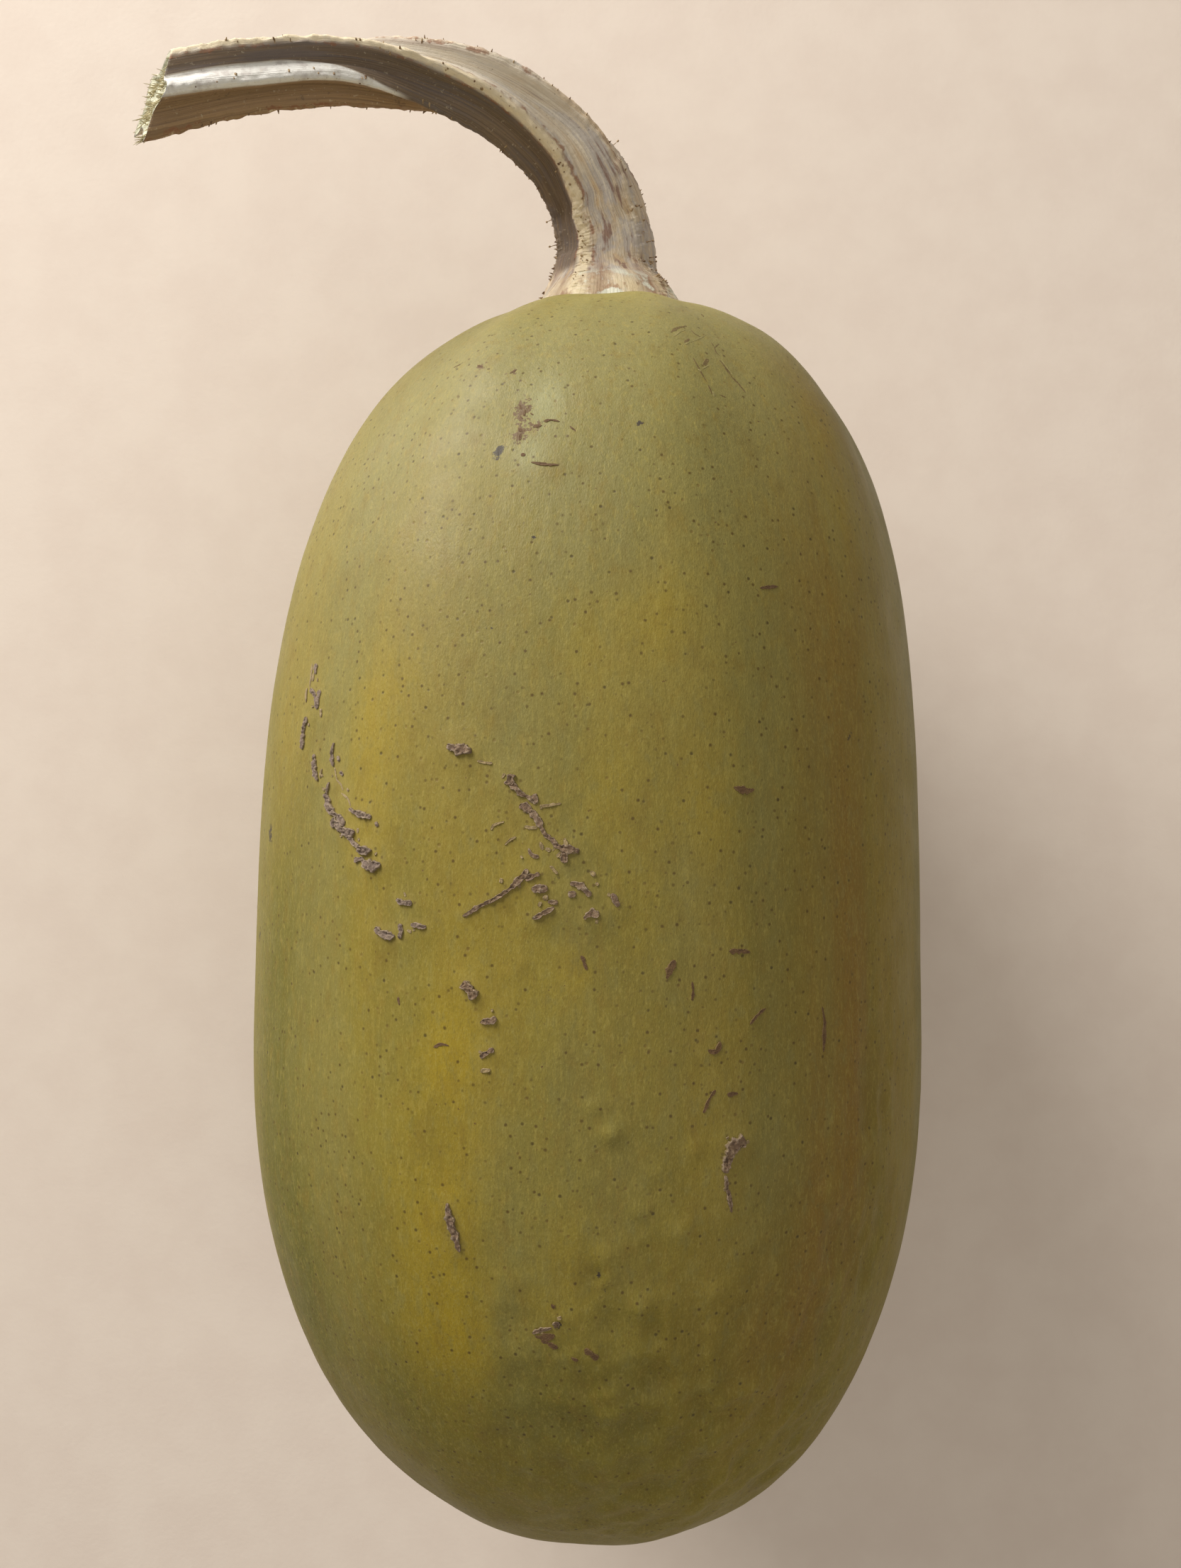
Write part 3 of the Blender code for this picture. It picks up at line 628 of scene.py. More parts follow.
def mark_strip(mark, crust, blunt, seed):
    """Points, faces and edge values of one raised mark with an uneven, crusty surface and a sunk root."""
    normal = skin_normal(mark.y, mark.angle)
    line = mark.line + normal * skin_relief(mark.y, mark.angle)[:, None]
    length = np.concatenate(([0.0], np.cumsum(np.linalg.norm(np.diff(line, axis=0), axis=1))))
    extra = mark.width * 0.4
    run = np.linspace(-extra, length[-1] + extra, max(9, int((length[-1] + 2 * extra) / MARK_GRID)))
    direction = unit(np.gradient(line, axis=0))
    spots, normals, ways = (
        np.stack([np.interp(run, length, values[:, axis]) for axis in range(3)], axis=1)
        for values in (line, normal, direction)
    )
    normals, ways = unit(normals), unit(ways)
    spots += ways * (run - np.clip(run, 0, length[-1]))[:, None]
    taper = (1 - np.abs(np.linspace(-1, 1, len(run))) ** blunt) ** 0.5
    marker = np.stack((run, np.full(len(run), seed * MARK_APART), np.zeros(len(run))), axis=1)
    swing = 0.14 * mark.width * noise_at(marker, 1.3, 11)
    ragged = 1 + layers(marker, RAGGED_SIDES)
    half = mark.width / 2 * taper * ragged + 0.02
    across = np.cross(normals, ways)
    share, half_grid = np.meshgrid(np.array(MARK_SHARES), half)
    aside = share * half_grid + swing[:, None] * taper[:, None]
    rows = spots[:, None] + across[:, None] * aside[..., None]
    frayed = 1 + layers(rows, FRAYED_SIDES)
    rows = spots[:, None] + across[:, None] * (aside * frayed)[..., None]
    crown = 1 - np.abs(share) ** 8
    lip = 0.3 * bell(np.abs(share) - 0.8, 0.13)
    crease = bell(noise_at(rows, 0.62, 18), 0.11)
    form = crown * (0.66 + crust * (layers(rows, CLUMPS) - 0.36 * crease)) + lip
    rise = mark.height * form * (0.35 + 0.65 * taper[:, None])
    rise -= ROOT_DEPTH * (np.abs(share) == 1.0)
    rows = rows + normals[:, None] * rise[..., None]
    faces = grid_faces(len(run), len(MARK_SHARES), closed=False)
    values = {
        "edge": np.abs(share).reshape(-1),
        "rise": form.reshape(-1),
        "slim": np.full(share.size, float(mark.width < SLIM_WIDTH)),
    }
    return rows.reshape(-1, 3), faces, values


def build_marks(name, marks, crust, blunt, material):
    """All the marks of one kind as one piece."""
    meshes = [mark_strip(mark, crust, blunt, number) for number, mark in enumerate(marks)]
    points, faces = gather([(points, faces) for points, faces, _ in meshes])
    values = {name: np.concatenate([values[name] for _, _, values in meshes]) for name in meshes[0][2]}
    piece = mesh_piece(name, points, faces, material, values)


def route_at(place):
    """All six values of the stem's route at places from 0, the foot, to 1, the tip."""
    rows = extended(STEM_ROUTE)
    along = np.clip(place, 0.0, 1.0) * (len(STEM_ROUTE) - 1)
    first = np.minimum(along.astype(int), len(STEM_ROUTE) - 2)
    return curve_between(*(rows[first + step] for step in range(4)), (along - first)[:, None])


def stem_axes(place):
    """Directions along the stem, up across it and sideways across it."""
    along = unit(route_at(place + 0.01)[:, :3] - route_at(place - 0.01)[:, :3])
    along[place <= 0.0] = (0.0, 1.0, 0.0)
    up = unit(np.array((0.0, 0.0, 1.0)) - along[:, 2:] * along)
    return along, up, np.cross(along, up)


def ridge_share(turn):
    """1 on the crest of a ridge and 0 in the groove between two."""
    return (0.5 + 0.5 * np.cos(STEM_RIDGES * turn)) ** RIDGE_SHARPNESS


def degrees_round(turn):
    """Degrees from the marked ridge, from -180 to 180."""
    return (np.degrees(turn) + 180) % 360 - 180


def outer_fill(place, turn):
    """How far the groove on the outer side of the bend is filled, from the foot to past the middle."""
    degrees = degrees_round(turn)
    return 0.7 * smooth_step((0.68 - place) / 0.15) * ((degrees > 0) & (degrees < FACE_DEGREES))


def stem_points(place, turn, lift=0.0):
    """Points of the ridged stem at places and turns from the marked ridge, lifted off its plain form."""
    place, turn = np.asarray(place, dtype=float), np.asarray(turn, dtype=float)
    values = route_at(place)
    along, up, out = stem_axes(place)
    reach = values[:, 3] * (values[:, 4] + (1 - values[:, 4]) * ridge_share(turn)) + lift
    reach = reach + outer_fill(place, turn) * values[:, 3] * (1 - values[:, 4]) * (1 - ridge_share(turn))
    angle = turn + np.radians(values[:, 5])
    high, wide = reach * np.cos(angle), reach * np.sin(angle)
    slant = smooth_step((place - 1 + CUT_REACH) / CUT_REACH)
    shift = -slant * (CUT_SLOPE_UP * high + CUT_SLOPE_OUT * wide)
    return values[:, :3] + up * high[:, None] + out * wide[:, None] + along * shift[:, None]


def stem_point(place, turn, lift):
    """One point of the ridged stem."""
    return stem_points([place], [turn], lift)[0]


def stem_way(place):
    """Direction along the stem at one place."""
    return stem_axes(np.array((place,)))[0][0]


def stem_relief(place, turn):
    """Fine ribs along the stem, crusty ridges, and secondary ribs that spread into the foot."""
    length = place * STEM_LENGTH
    marker = np.stack((length, np.cos(turn) * 9, np.sin(turn) * 9), axis=1)
    fibres = np.stack((length * 0.06, np.cos(turn) * 9, np.sin(turn) * 9), axis=1)
    foot = 1 - smooth_step(place / 0.3)
    height = layers(fibres, STEM_FIBRES) + ridge_share(turn) ** 2 * layers(marker, RIDGE_CRUST)
    height += 0.1 * noise_at(marker * (0.5, 1, 1), 3.0, 25)
    aside = np.mod(turn * STEM_RIDGES / math.tau, 1.0) - 0.5
    return height + foot * FOOT_RIB_HEIGHT * bell(aside, 0.16)


def between(value, low, high, soft):
    """1 between two limits, with soft edges outside them."""
    return smooth_step((value - low) / soft + 1) * smooth_step((high - value) / soft + 1)


def stem_tints(place, turn):
    """Where the stem has painted shade in the deep groove on the inside of the bend, painted light on the pale
    wall below it, brown partly with painted shade, crusted ridges, and brown with painted shade in the foot's
    hollows, by the faces between its ridges.
    """
    degrees = degrees_round(turn)
    towards_tip = smooth_step((place - 0.55) / 0.15)
    wall = -FACE_DEGREES * (1 - smooth_step((place - 0.79) / 0.1) / 2)
    # Painted light: the groove's lower wall near the tip, very pale where light falls on it, over its pale
    # flaky skin.
    pale_wall_painted_light = smooth_step((place - 0.77) / 0.03) * between(degrees, -80, wall, 4)
    crusted = np.where(np.abs(degrees) < FACE_DEGREES / 2, 1.0, 0.3 + 0.5 * towards_tip)
    crusted = np.where(np.abs(degrees + FACE_DEGREES) < FACE_DEGREES / 2, 0.1, crusted)
    return {
        # Painted shade: the deep groove on the inside of the bend, over its own grey-brown.
        "bend_groove_painted_shade": between(degrees, -80, -12, 6) * (1 - pale_wall_painted_light) * smooth_step((place - 0.2) / 0.06),
        "pale_wall_painted_light": pale_wall_painted_light,
        # The lower face near the tip: its own brown, partly darkened as painted shade.
        "brown_face": between(degrees, -180, -78, 4) * towards_tip,
        "crest": ridge_share(turn) * crusted,
        # The hollows between the ribs at the foot: their own brown streaks, partly darkened as painted shade.
        "foot_hollow_brown_and_shade": (0.5 - 0.5 * np.cos(2 * STEM_RIDGES * turn)) ** 2 * (1 - smooth_step((place - 0.1) / 0.25)),
    }


def build_stem(material):
    """The stem's ridged skin, closed by the fibrous cut at its tip."""
    place, turn = np.meshgrid(
        np.linspace(0, 1, STEM_ROWS), np.arange(STEM_COLUMNS) / STEM_COLUMNS * math.tau, indexing="ij"
    )
    place, turn = place.reshape(-1), turn.reshape(-1)
    points = stem_points(place, turn, stem_relief(place, turn) * smooth_step(place / 0.01 + 0.3))
    points[:STEM_COLUMNS, 1] = SEAT_Y - FOOT_SINK
    rim = points[-STEM_COLUMNS:]
    middle = rim.mean(axis=0)
    along = stem_way(1.0)
    cap = []
    for step in range(1, CAP_ROWS + 1):
        share = step / CAP_ROWS
        ring = rim + (middle - rim) * share * 0.97
        hollow = -1.2 * smooth_step(share / 0.5) + 1.0 * smooth_step((share - 0.45) / 0.5)
        cap.append(ring + along * (hollow + layers(ring, CUT_ENDS) * smooth_step(share * 6))[:, None])
    everything = np.vstack((points, *cap, middle - along * 0.2))
    rows = STEM_ROWS + CAP_ROWS
    faces = grid_faces(rows, STEM_COLUMNS)
    faces += fan((rows - 1) * STEM_COLUMNS, STEM_COLUMNS, rows * STEM_COLUMNS)
    faces.append(tuple(reversed(range(STEM_COLUMNS))))
    capped = CAP_ROWS * STEM_COLUMNS + 1
    tints = stem_tints(place, turn)
    values = {name: np.concatenate((tint, np.zeros(capped))) for name, tint in tints.items()}
    values |= {
        "place": np.concatenate((place, np.ones(capped))),
        "round_x": np.concatenate((np.cos(turn), np.ones(capped))),
        "round_y": np.concatenate((np.sin(turn), np.ones(capped))),
        "cut": np.concatenate((np.zeros(len(place)), np.ones(capped))),
    }
    stem = mesh_piece("squash_stem_skin", everything, faces, material, values)
    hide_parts("squash_stem")


def cone_mesh(root, tip, radius, sides, bulb=0.0):
    """Points and faces of one tapering spine, with a small bulb at its end where asked."""
    way = unit(tip - root)
    side = unit(np.cross(way, (0.3, 0.5, 0.81)))
    other = np.cross(way, side)
    turns = np.arange(sides) / sides * math.tau
    ring = side * np.cos(turns)[:, None] + other * np.sin(turns)[:, None]
    length = np.linalg.norm(tip - root)
    levels = [(0.0, radius), (0.35, radius * 0.6), (0.75, radius * 0.34), (0.95, radius * 0.22)]
    if bulb:
        levels[-1] = (0.86, radius * 0.3)
        levels += [(0.93, bulb * 0.9), (1.0, bulb), (1.07, bulb * 0.8)]
    points = [root + way * length * at + ring * size for at, size in levels]
    points.append((root + way * length * (1.12 if bulb else 1.0))[None])
    faces = grid_faces(len(levels), sides)
    faces += fan((len(levels) - 1) * sides, sides, len(levels) * sides)
    return np.vstack(points), faces


def gather(meshes):
    """One list of points and of faces from several small meshes."""
    points, faces, count = [], [], 0
    for some_points, some_faces in meshes:
        points.append(some_points)
        faces.extend(tuple(index + count for index in face) for face in some_faces)
        count += len(some_points)
    return np.vstack(points), faces


def build_prickles(material):
    """Small prickles along the stem's ridges, and a few hairs with bulbs at their ends."""
    spines = []
    for _ in range(PRICKLES):
        place = 0.08 + 0.9 * DRAW.random() ** 0.9
        ridge = math.tau * DRAW.randrange(STEM_RIDGES) / STEM_RIDGES
        turn = ridge + DRAW.gauss(0, 0.09)
        size = DRAW.uniform(0.15, 0.55)
        root = stem_point(place, turn, -0.35)
        tip = stem_point(place, turn, size) + stem_way(place) * size * DRAW.uniform(-0.1, 0.6)
        spines.append(cone_mesh(root, tip, DRAW.uniform(0.22, 0.42), 6))
    for number in range(BULB_HAIRS):
        place = DRAW.uniform(0.25, 0.75)
        turn = math.tau * number / STEM_RIDGES + DRAW.gauss(0, 0.12)
        root, tip = stem_point(place, turn, -0.3), stem_point(place, turn, DRAW.uniform(1.1, 1.9))
        spines.append(cone_mesh(root, tip, 0.16, 6, bulb=0.2))
    points, faces = gather(spines)
    piece = mesh_piece("stem_prickles", points, faces, material)


def build_fibres(material):
    """Torn fibres that stand out round the cut at the stem's tip, the longest at its lower corner."""
    strands = []
    along = stem_way(1.0)
    middle = stem_points(np.full(40, 1.0), np.arange(40) / 40 * math.tau).mean(axis=0)
    for _ in range(RIM_FIBRES):
        rim = stem_point(1.0, DRAW.uniform(0, math.tau), -0.2)
        root = rim + (middle - rim) * DRAW.uniform(0.0, 0.7) - along * FIBRE_ROOT
        lean = np.array([DRAW.gauss(0, 0.35) for _ in range(3)])
        tip = root + (along + lean) * DRAW.uniform(0.8, 1.5)
        strands.append(cone_mesh(root, tip, DRAW.uniform(0.1, 0.22), 5))
    for _ in range(CORNER_FIBRES):
        root = stem_point(1.0, LOW_CORNER + DRAW.gauss(0, 0.08), -0.4) - along * FIBRE_ROOT
        lean = np.array([DRAW.gauss(0, 0.25) for _ in range(3)])
        tip = root + (along + lean) * DRAW.uniform(1.0, 2.0)
        strands.append(cone_mesh(root, tip, 0.18, 5))
    points, faces = gather(strands)
    piece = mesh_piece("stem_cut_fibres", points, faces, material)


def build_blossom_scar(material):
    """The round, corky scar that the flower left at the blossom end."""
    rows, columns = 30, 96
    centre_y = -FRUIT_LENGTH / 2
    share = np.linspace(1.0, 0.0, rows, endpoint=False)
    turn = np.arange(columns) / columns * math.tau
    share, turn = np.meshgrid(share, turn, indexing="ij")
    radius = SCAR_RADIUS * share * (1 + 0.05 * np.cos(5 * turn) + 0.03 * np.cos(11 * turn + 1))
    x = axis_x(centre_y) + radius * np.sin(turn)
    z = AXIS_HEIGHT + radius * np.cos(turn)
    level = 0.85 * smooth_step((1 - share) / 0.18) - 0.3 * smooth_step((0.62 - share) / 0.3)
    level += 0.3 * smooth_step((0.2 - share) / 0.2) - 0.5
    spots = np.stack((x, np.zeros_like(x), z), axis=-1)
    level += layers(spots, SCAR_GRAIN) * smooth_step((1 - share) / 0.1)
    points = np.stack((x, centre_y - level, z), axis=-1).reshape(-1, 3)
    middle = np.array(((axis_x(centre_y), centre_y - 0.15, AXIS_HEIGHT),))
    faces = grid_faces(rows, columns)
    faces += fan((rows - 1) * columns, columns, rows * columns)
    edge = np.append(share.reshape(-1), 0.0)
    values = {"edge": edge, "rise": 1 - edge, "slim": np.zeros(len(edge))}
    piece = mesh_piece("blossom_scar", np.vstack((points, middle)), faces, material, values)


def srgb(red, green, blue):
    """A linear colour from screen values of 0 to 255."""
    values = np.array((red, green, blue)) / 255
    linear = np.where(values <= 0.04045, values / 12.92, ((values + 0.055) / 1.055) ** 2.4)
    return (*linear.tolist(), 1.0)


class Finish:
    """A Principled material, the colour laid on so far, and the node-making steps that the finishes share."""

    def __init__(self, name):
        self.material = bpy.data.materials.new(name)
        self.material.use_nodes = True
        self.tree = self.material.node_tree
        self.shader = self.tree.nodes["Principled BSDF"]
        self.colour = None

    def node(self, kind, inputs=None, **settings):
        made = self.tree.nodes.new(kind)
        for name, value in settings.items():
            setattr(made, name, value)
        for name, value in (inputs or {}).items():
            self.feed(made.inputs[name], value)
        return made

    def feed(self, socket, value):
        if isinstance(value, bpy.types.NodeSocket):
            self.tree.links.new(value, socket)
        else:
            socket.default_value = value

    def value(self, name):
        return self.node("ShaderNodeAttribute", attribute_name=name).outputs["Fac"]

    def place(self):
        return self.node("ShaderNodeTexCoord").outputs["Object"]

    def scaled(self, vector, *scale):
        return self.node("ShaderNodeVectorMath", {0: vector, 1: scale}, operation="MULTIPLY").outputs[0]

    def math(self, operation, first, second):
        return self.node("ShaderNodeMath", {0: first, 1: second}, operation=operation).outputs[0]

    def times(self, first, second):
        return self.math("MULTIPLY", first, second)

    def capped(self, value, most):
        return self.math("MINIMUM", value, most)

    def noise(self, vector, scale, detail=2.0, rough=0.5):
        inputs = {"Vector": vector, "Scale": scale, "Detail": detail, "Roughness": rough}
        return self.node("ShaderNodeTexNoise", inputs).outputs["Fac"]

    def step(self, value, low, high, start=0.0, end=1.0):
        """A soft step of a value between two limits."""
        inputs = {"Value": value, "From Min": low, "From Max": high, "To Min": start, "To Max": end}
        return self.node("ShaderNodeMapRange", inputs, interpolation_type="SMOOTHSTEP").outputs[0]

    def mix(self, share, first, second):
        """Two colours, each a socket or screen values, mixed by a share of the second."""
        made = self.node("ShaderNodeMix", data_type="RGBA")
        for number, value in ((0, share), (6, first), (7, second)):
            self.feed(made.inputs[number], srgb(*value) if isinstance(value, tuple) else value)
        return made.outputs[2]

    def blend(self, value, low, high, first, second, most=1.0):
        """A colour that turns from the first to the second between two limits of a value."""
        return self.mix(self.step(value, low, high, 0.0, most), first, second)

    def cover(self, share, colour):
        """Lay a colour over what is there, by a share."""
        self.colour = self.mix(share, self.colour, colour)

    def veil(self, value, low, high, most, colour):
        """Lay a colour on as a value goes from one limit to the other."""
        self.cover(self.step(value, low, high, 0.0, most), colour)

    def dots(self, vector, cell, radius, softness, offset=(0.0, 0.0, 0.0)):
        """Round dots where the surface passes close to scattered points, with a random value each."""
        moved = self.node("ShaderNodeVectorMath", {0: vector, 1: offset}, operation="ADD").outputs[0]
        cells = self.node("ShaderNodeTexVoronoi", {"Vector": moved, "Scale": 1 / cell, "Randomness": 1.0})
        reach = radius / cell
        dot = self.step(cells.outputs["Distance"], reach, reach * (1 - softness))
        return dot, cells.outputs["Color"]

    def bump(self, height, distance, strength=1.0, normal=None):
        inputs = {"Height": height, "Distance": distance, "Strength": strength}
        if normal is not None:
            inputs["Normal"] = normal
        return self.node("ShaderNodeBump", inputs).outputs["Normal"]

    def finish(self, roughness, normal):
        for name, value in (("Base Color", self.colour), ("Roughness", roughness), ("Normal", normal)):
            self.feed(self.shader.inputs[name], value)
        return self.material


def rind_material():
    """Olive-yellow rind with grey-green and golden bands, pale grain, dots, bruises and a satin bloom, with
    painted sheen on the top and towards the stem end, brown on the right partly painted shade, painted shade
    and highlights on the leathery part, and painted highlights round the corky marks.
    """
    f = Finish("rind_skin")
    place = f.place()
    lengthwise = f.scaled(place, 1.0, 0.12, 1.0)
    grainwise = f.scaled(place, 1.0, 0.45, 1.0)
    bands = f.noise(lengthwise, 34.0, 2.0, 0.5)
    clouds = f.noise(f.scaled(place, 1.0, 0.5, 1.0), 62.0, 5.0, 0.62)
    fine_clouds = f.noise(grainwise, 300.0, 3.0, 0.6)
    streaks = f.noise(f.scaled(place, 1.0, 0.05, 1.0), 160.0, 3.0, 0.55)

    f.colour = f.blend(clouds, 0.38, 0.62, (106, 95, 31), (118, 106, 36))
    f.veil(bands, 0.42, 0.6, 0.55, (108, 104, 59))
    f.veil(bands, 0.5, 0.38, 0.45, (132, 112, 35))
    along = f.node("ShaderNodeSeparateXYZ", {"Vector": place}).outputs["Y"]
    f.veil(along, -0.02, -0.1, 0.75, (111, 97, 15))
    # Painted sheen: greyer and paler towards the stem end.
    f.veil(along, 0.0, 0.1, 0.55, (124, 121, 85))
    # Painted light: a paler yellow band round the stem's seat.
    f.veil(along, 0.102, 0.112, 0.5, (163, 151, 83))
    # Brown streaks on the right side, partly painted shade of the side away from the light.
    brown = f.times(f.value("brown"), f.step(streaks, 0.35, 0.65, 0.6, 1.3))
    f.cover(f.capped(brown, 0.95), (114, 83, 25))
    ochre = f.times(f.value("ochre"), f.step(clouds, 0.36, 0.62, 0.2, 1.0))
    f.cover(f.capped(ochre, 0.9), (144, 122, 20))
    # Grey-green bands, and at the first patch a painted sheen.
    grey_green = f.times(f.value("grey_green"), f.step(clouds, 0.65, 0.35, 0.45, 1.05))
    f.cover(f.capped(grey_green, 0.9), (108, 106, 64))
    f.cover(f.capped(f.value("green"), 0.9), (77, 77, 21))
    # Painted shade in the leathery hollows and painted highlight on their tops, by the relief's height.
    leathery = f.value("leathery")
    f.veil(leathery, 0.0, -0.5, 0.16, (71, 59, 19))
    f.veil(leathery, 0.05, 0.5, 0.18, (143, 130, 47))
    # Painted sheen: the pale patches on the top.
    f.cover(f.capped(f.value("pale"), 0.8), (148, 151, 117))
    mottles = f.noise(grainwise, 620.0, 3.0, 0.6)
    f.veil(mottles, 0.52, 0.72, 0.35, (119, 96, 29))
    f.veil(mottles, 0.48, 0.28, 0.3, (106, 105, 65))

    grain = f.noise(grainwise, 4200.0, 2.0, 0.6)
    f.veil(grain, 0.54, 0.7, 0.3, (152, 142, 82))
    f.veil(grain, 0.46, 0.32, 0.26, (73, 65, 24))
    speckle = f.noise(f.scaled(place, 1.0, 0.25, 1.0), 1900.0, 2.0, 0.6)
    f.veil(speckle, 0.54, 0.68, 0.28, (151, 137, 67))
    f.veil(speckle, 0.45, 0.3, 0.18, (82, 75, 35))
    f.veil(fine_clouds, 0.5, 0.75, 0.3, (96, 75, 26))
    f.veil(fine_clouds, 0.46, 0.25, 0.25, (126, 120, 67))

    bloom = f.step(along, -0.11, 0.0, 0.06, 0.13)
    f.cover(bloom, (172, 154, 74))

    small, small_draw = f.dots(place, 0.0015, 0.00036, 0.7)
    large, large_draw = f.dots(place, 0.0024, 0.00037, 0.7, (0.013, 0.027, 0.005))
    small_share = f.times(small, f.step(small_draw, 0.3, 0.65, 0.1, 0.85))
    f.cover(small_share, (79, 61, 23))
    halo, _ = f.dots(place, 0.0024, 0.0008, 0.8, (0.013, 0.027, 0.005))
    f.cover(f.times(halo, 0.2), (135, 124, 63))
    large_colour = f.blend(large_draw, 0.4, 0.6, (63, 50, 21), (95, 67, 24))
    f.cover(f.times(large, f.step(large_draw, 0.3, 0.7, 0.8, 0.42)), large_colour)

    # Painted highlight: paler rind round the corky marks, where it swells.
    painted_swell_highlight = f.value("painted_swell_highlight")
    f.veil(painted_swell_highlight, 0.15, 0.9, 0.4, (141, 126, 65))
    spots = f.math("SUBTRACT", f.noise(place, 1500.0, 3.0, 0.65), 0.5)
    bruise_edge = f.math("ADD", f.value("bruise"), f.times(spots, 1.4))
    f.veil(bruise_edge, 0.3, 0.5, 0.9, (55, 47, 45))
    russet_share = f.math("ADD", f.value("russet"), f.times(spots, 2.4))
    f.veil(russet_share, 0.42, 0.62, 0.8, (90, 61, 39))

    dimples = f.noise(grainwise, 900.0, 3.0, 0.6)
    ripples = f.noise(f.scaled(place, 1.0, 0.1, 1.0), 520.0, 2.0, 0.5)
    normal = f.bump(ripples, 0.00012, 0.7)
    normal = f.bump(dimples, 0.00009, 0.8, normal)
    normal = f.bump(f.math("SUBTRACT", grain, f.times(large, 0.6)), 0.00006, 0.9, normal)
    roughness = f.step(f.noise(place, 90.0, 4.0, 0.6), 0.3, 0.7, 0.48, 0.6)
    f.shader.inputs["Specular IOR Level"].default_value = 0.27
    return f.finish(roughness, normal)


def cork_material(name, main, warm, pale, dark, straw):
    """Dry cork: mauve-grey or warm brown, with pale rims, dark cracks, straw-coloured slim ridges, a painted
    highlight on its highest parts and painted shade in its low parts.
    """
    f = Finish(name)
    place = f.place()
    blotches = f.noise(place, 900.0, 4.0, 0.65)
    cracks = f.noise(place, 2800.0, 3.0, 0.65)
    side = f.node("ShaderNodeSeparateXYZ", {"Vector": place}).outputs["X"]
    warmth = f.times(f.step(side, -0.027, -0.016), f.step(blotches, 0.35, 0.6, 0.45, 1.0))
    rise = f.value("rise")
    f.colour = f.mix(warmth, main, warm)
    f.veil(blotches, 0.42, 0.68, 0.45, pale)
    # Painted highlight on the marks' highest parts and painted shade in their low parts.
    f.veil(rise, 0.72, 1.1, 0.8, pale)
    f.veil(rise, 0.5, 0.25, 0.55, dark)
    f.veil(cracks, 0.42, 0.3, 0.7, dark)
    f.cover(f.times(f.value("slim"), 0.7), straw)
    rim = f.times(f.step(f.value("edge"), 0.55, 0.75), f.step(cracks, 0.4, 0.6, 0.2, 0.7))
    f.cover(rim, pale)
    f.veil(f.value("edge"), 0.86, 1.0, 0.8, (110, 94, 46))
    normal = f.bump(blotches, 0.0002, 0.9)
    normal = f.bump(cracks, 0.00012, 0.9, normal)
    return f.finish(0.8, normal)


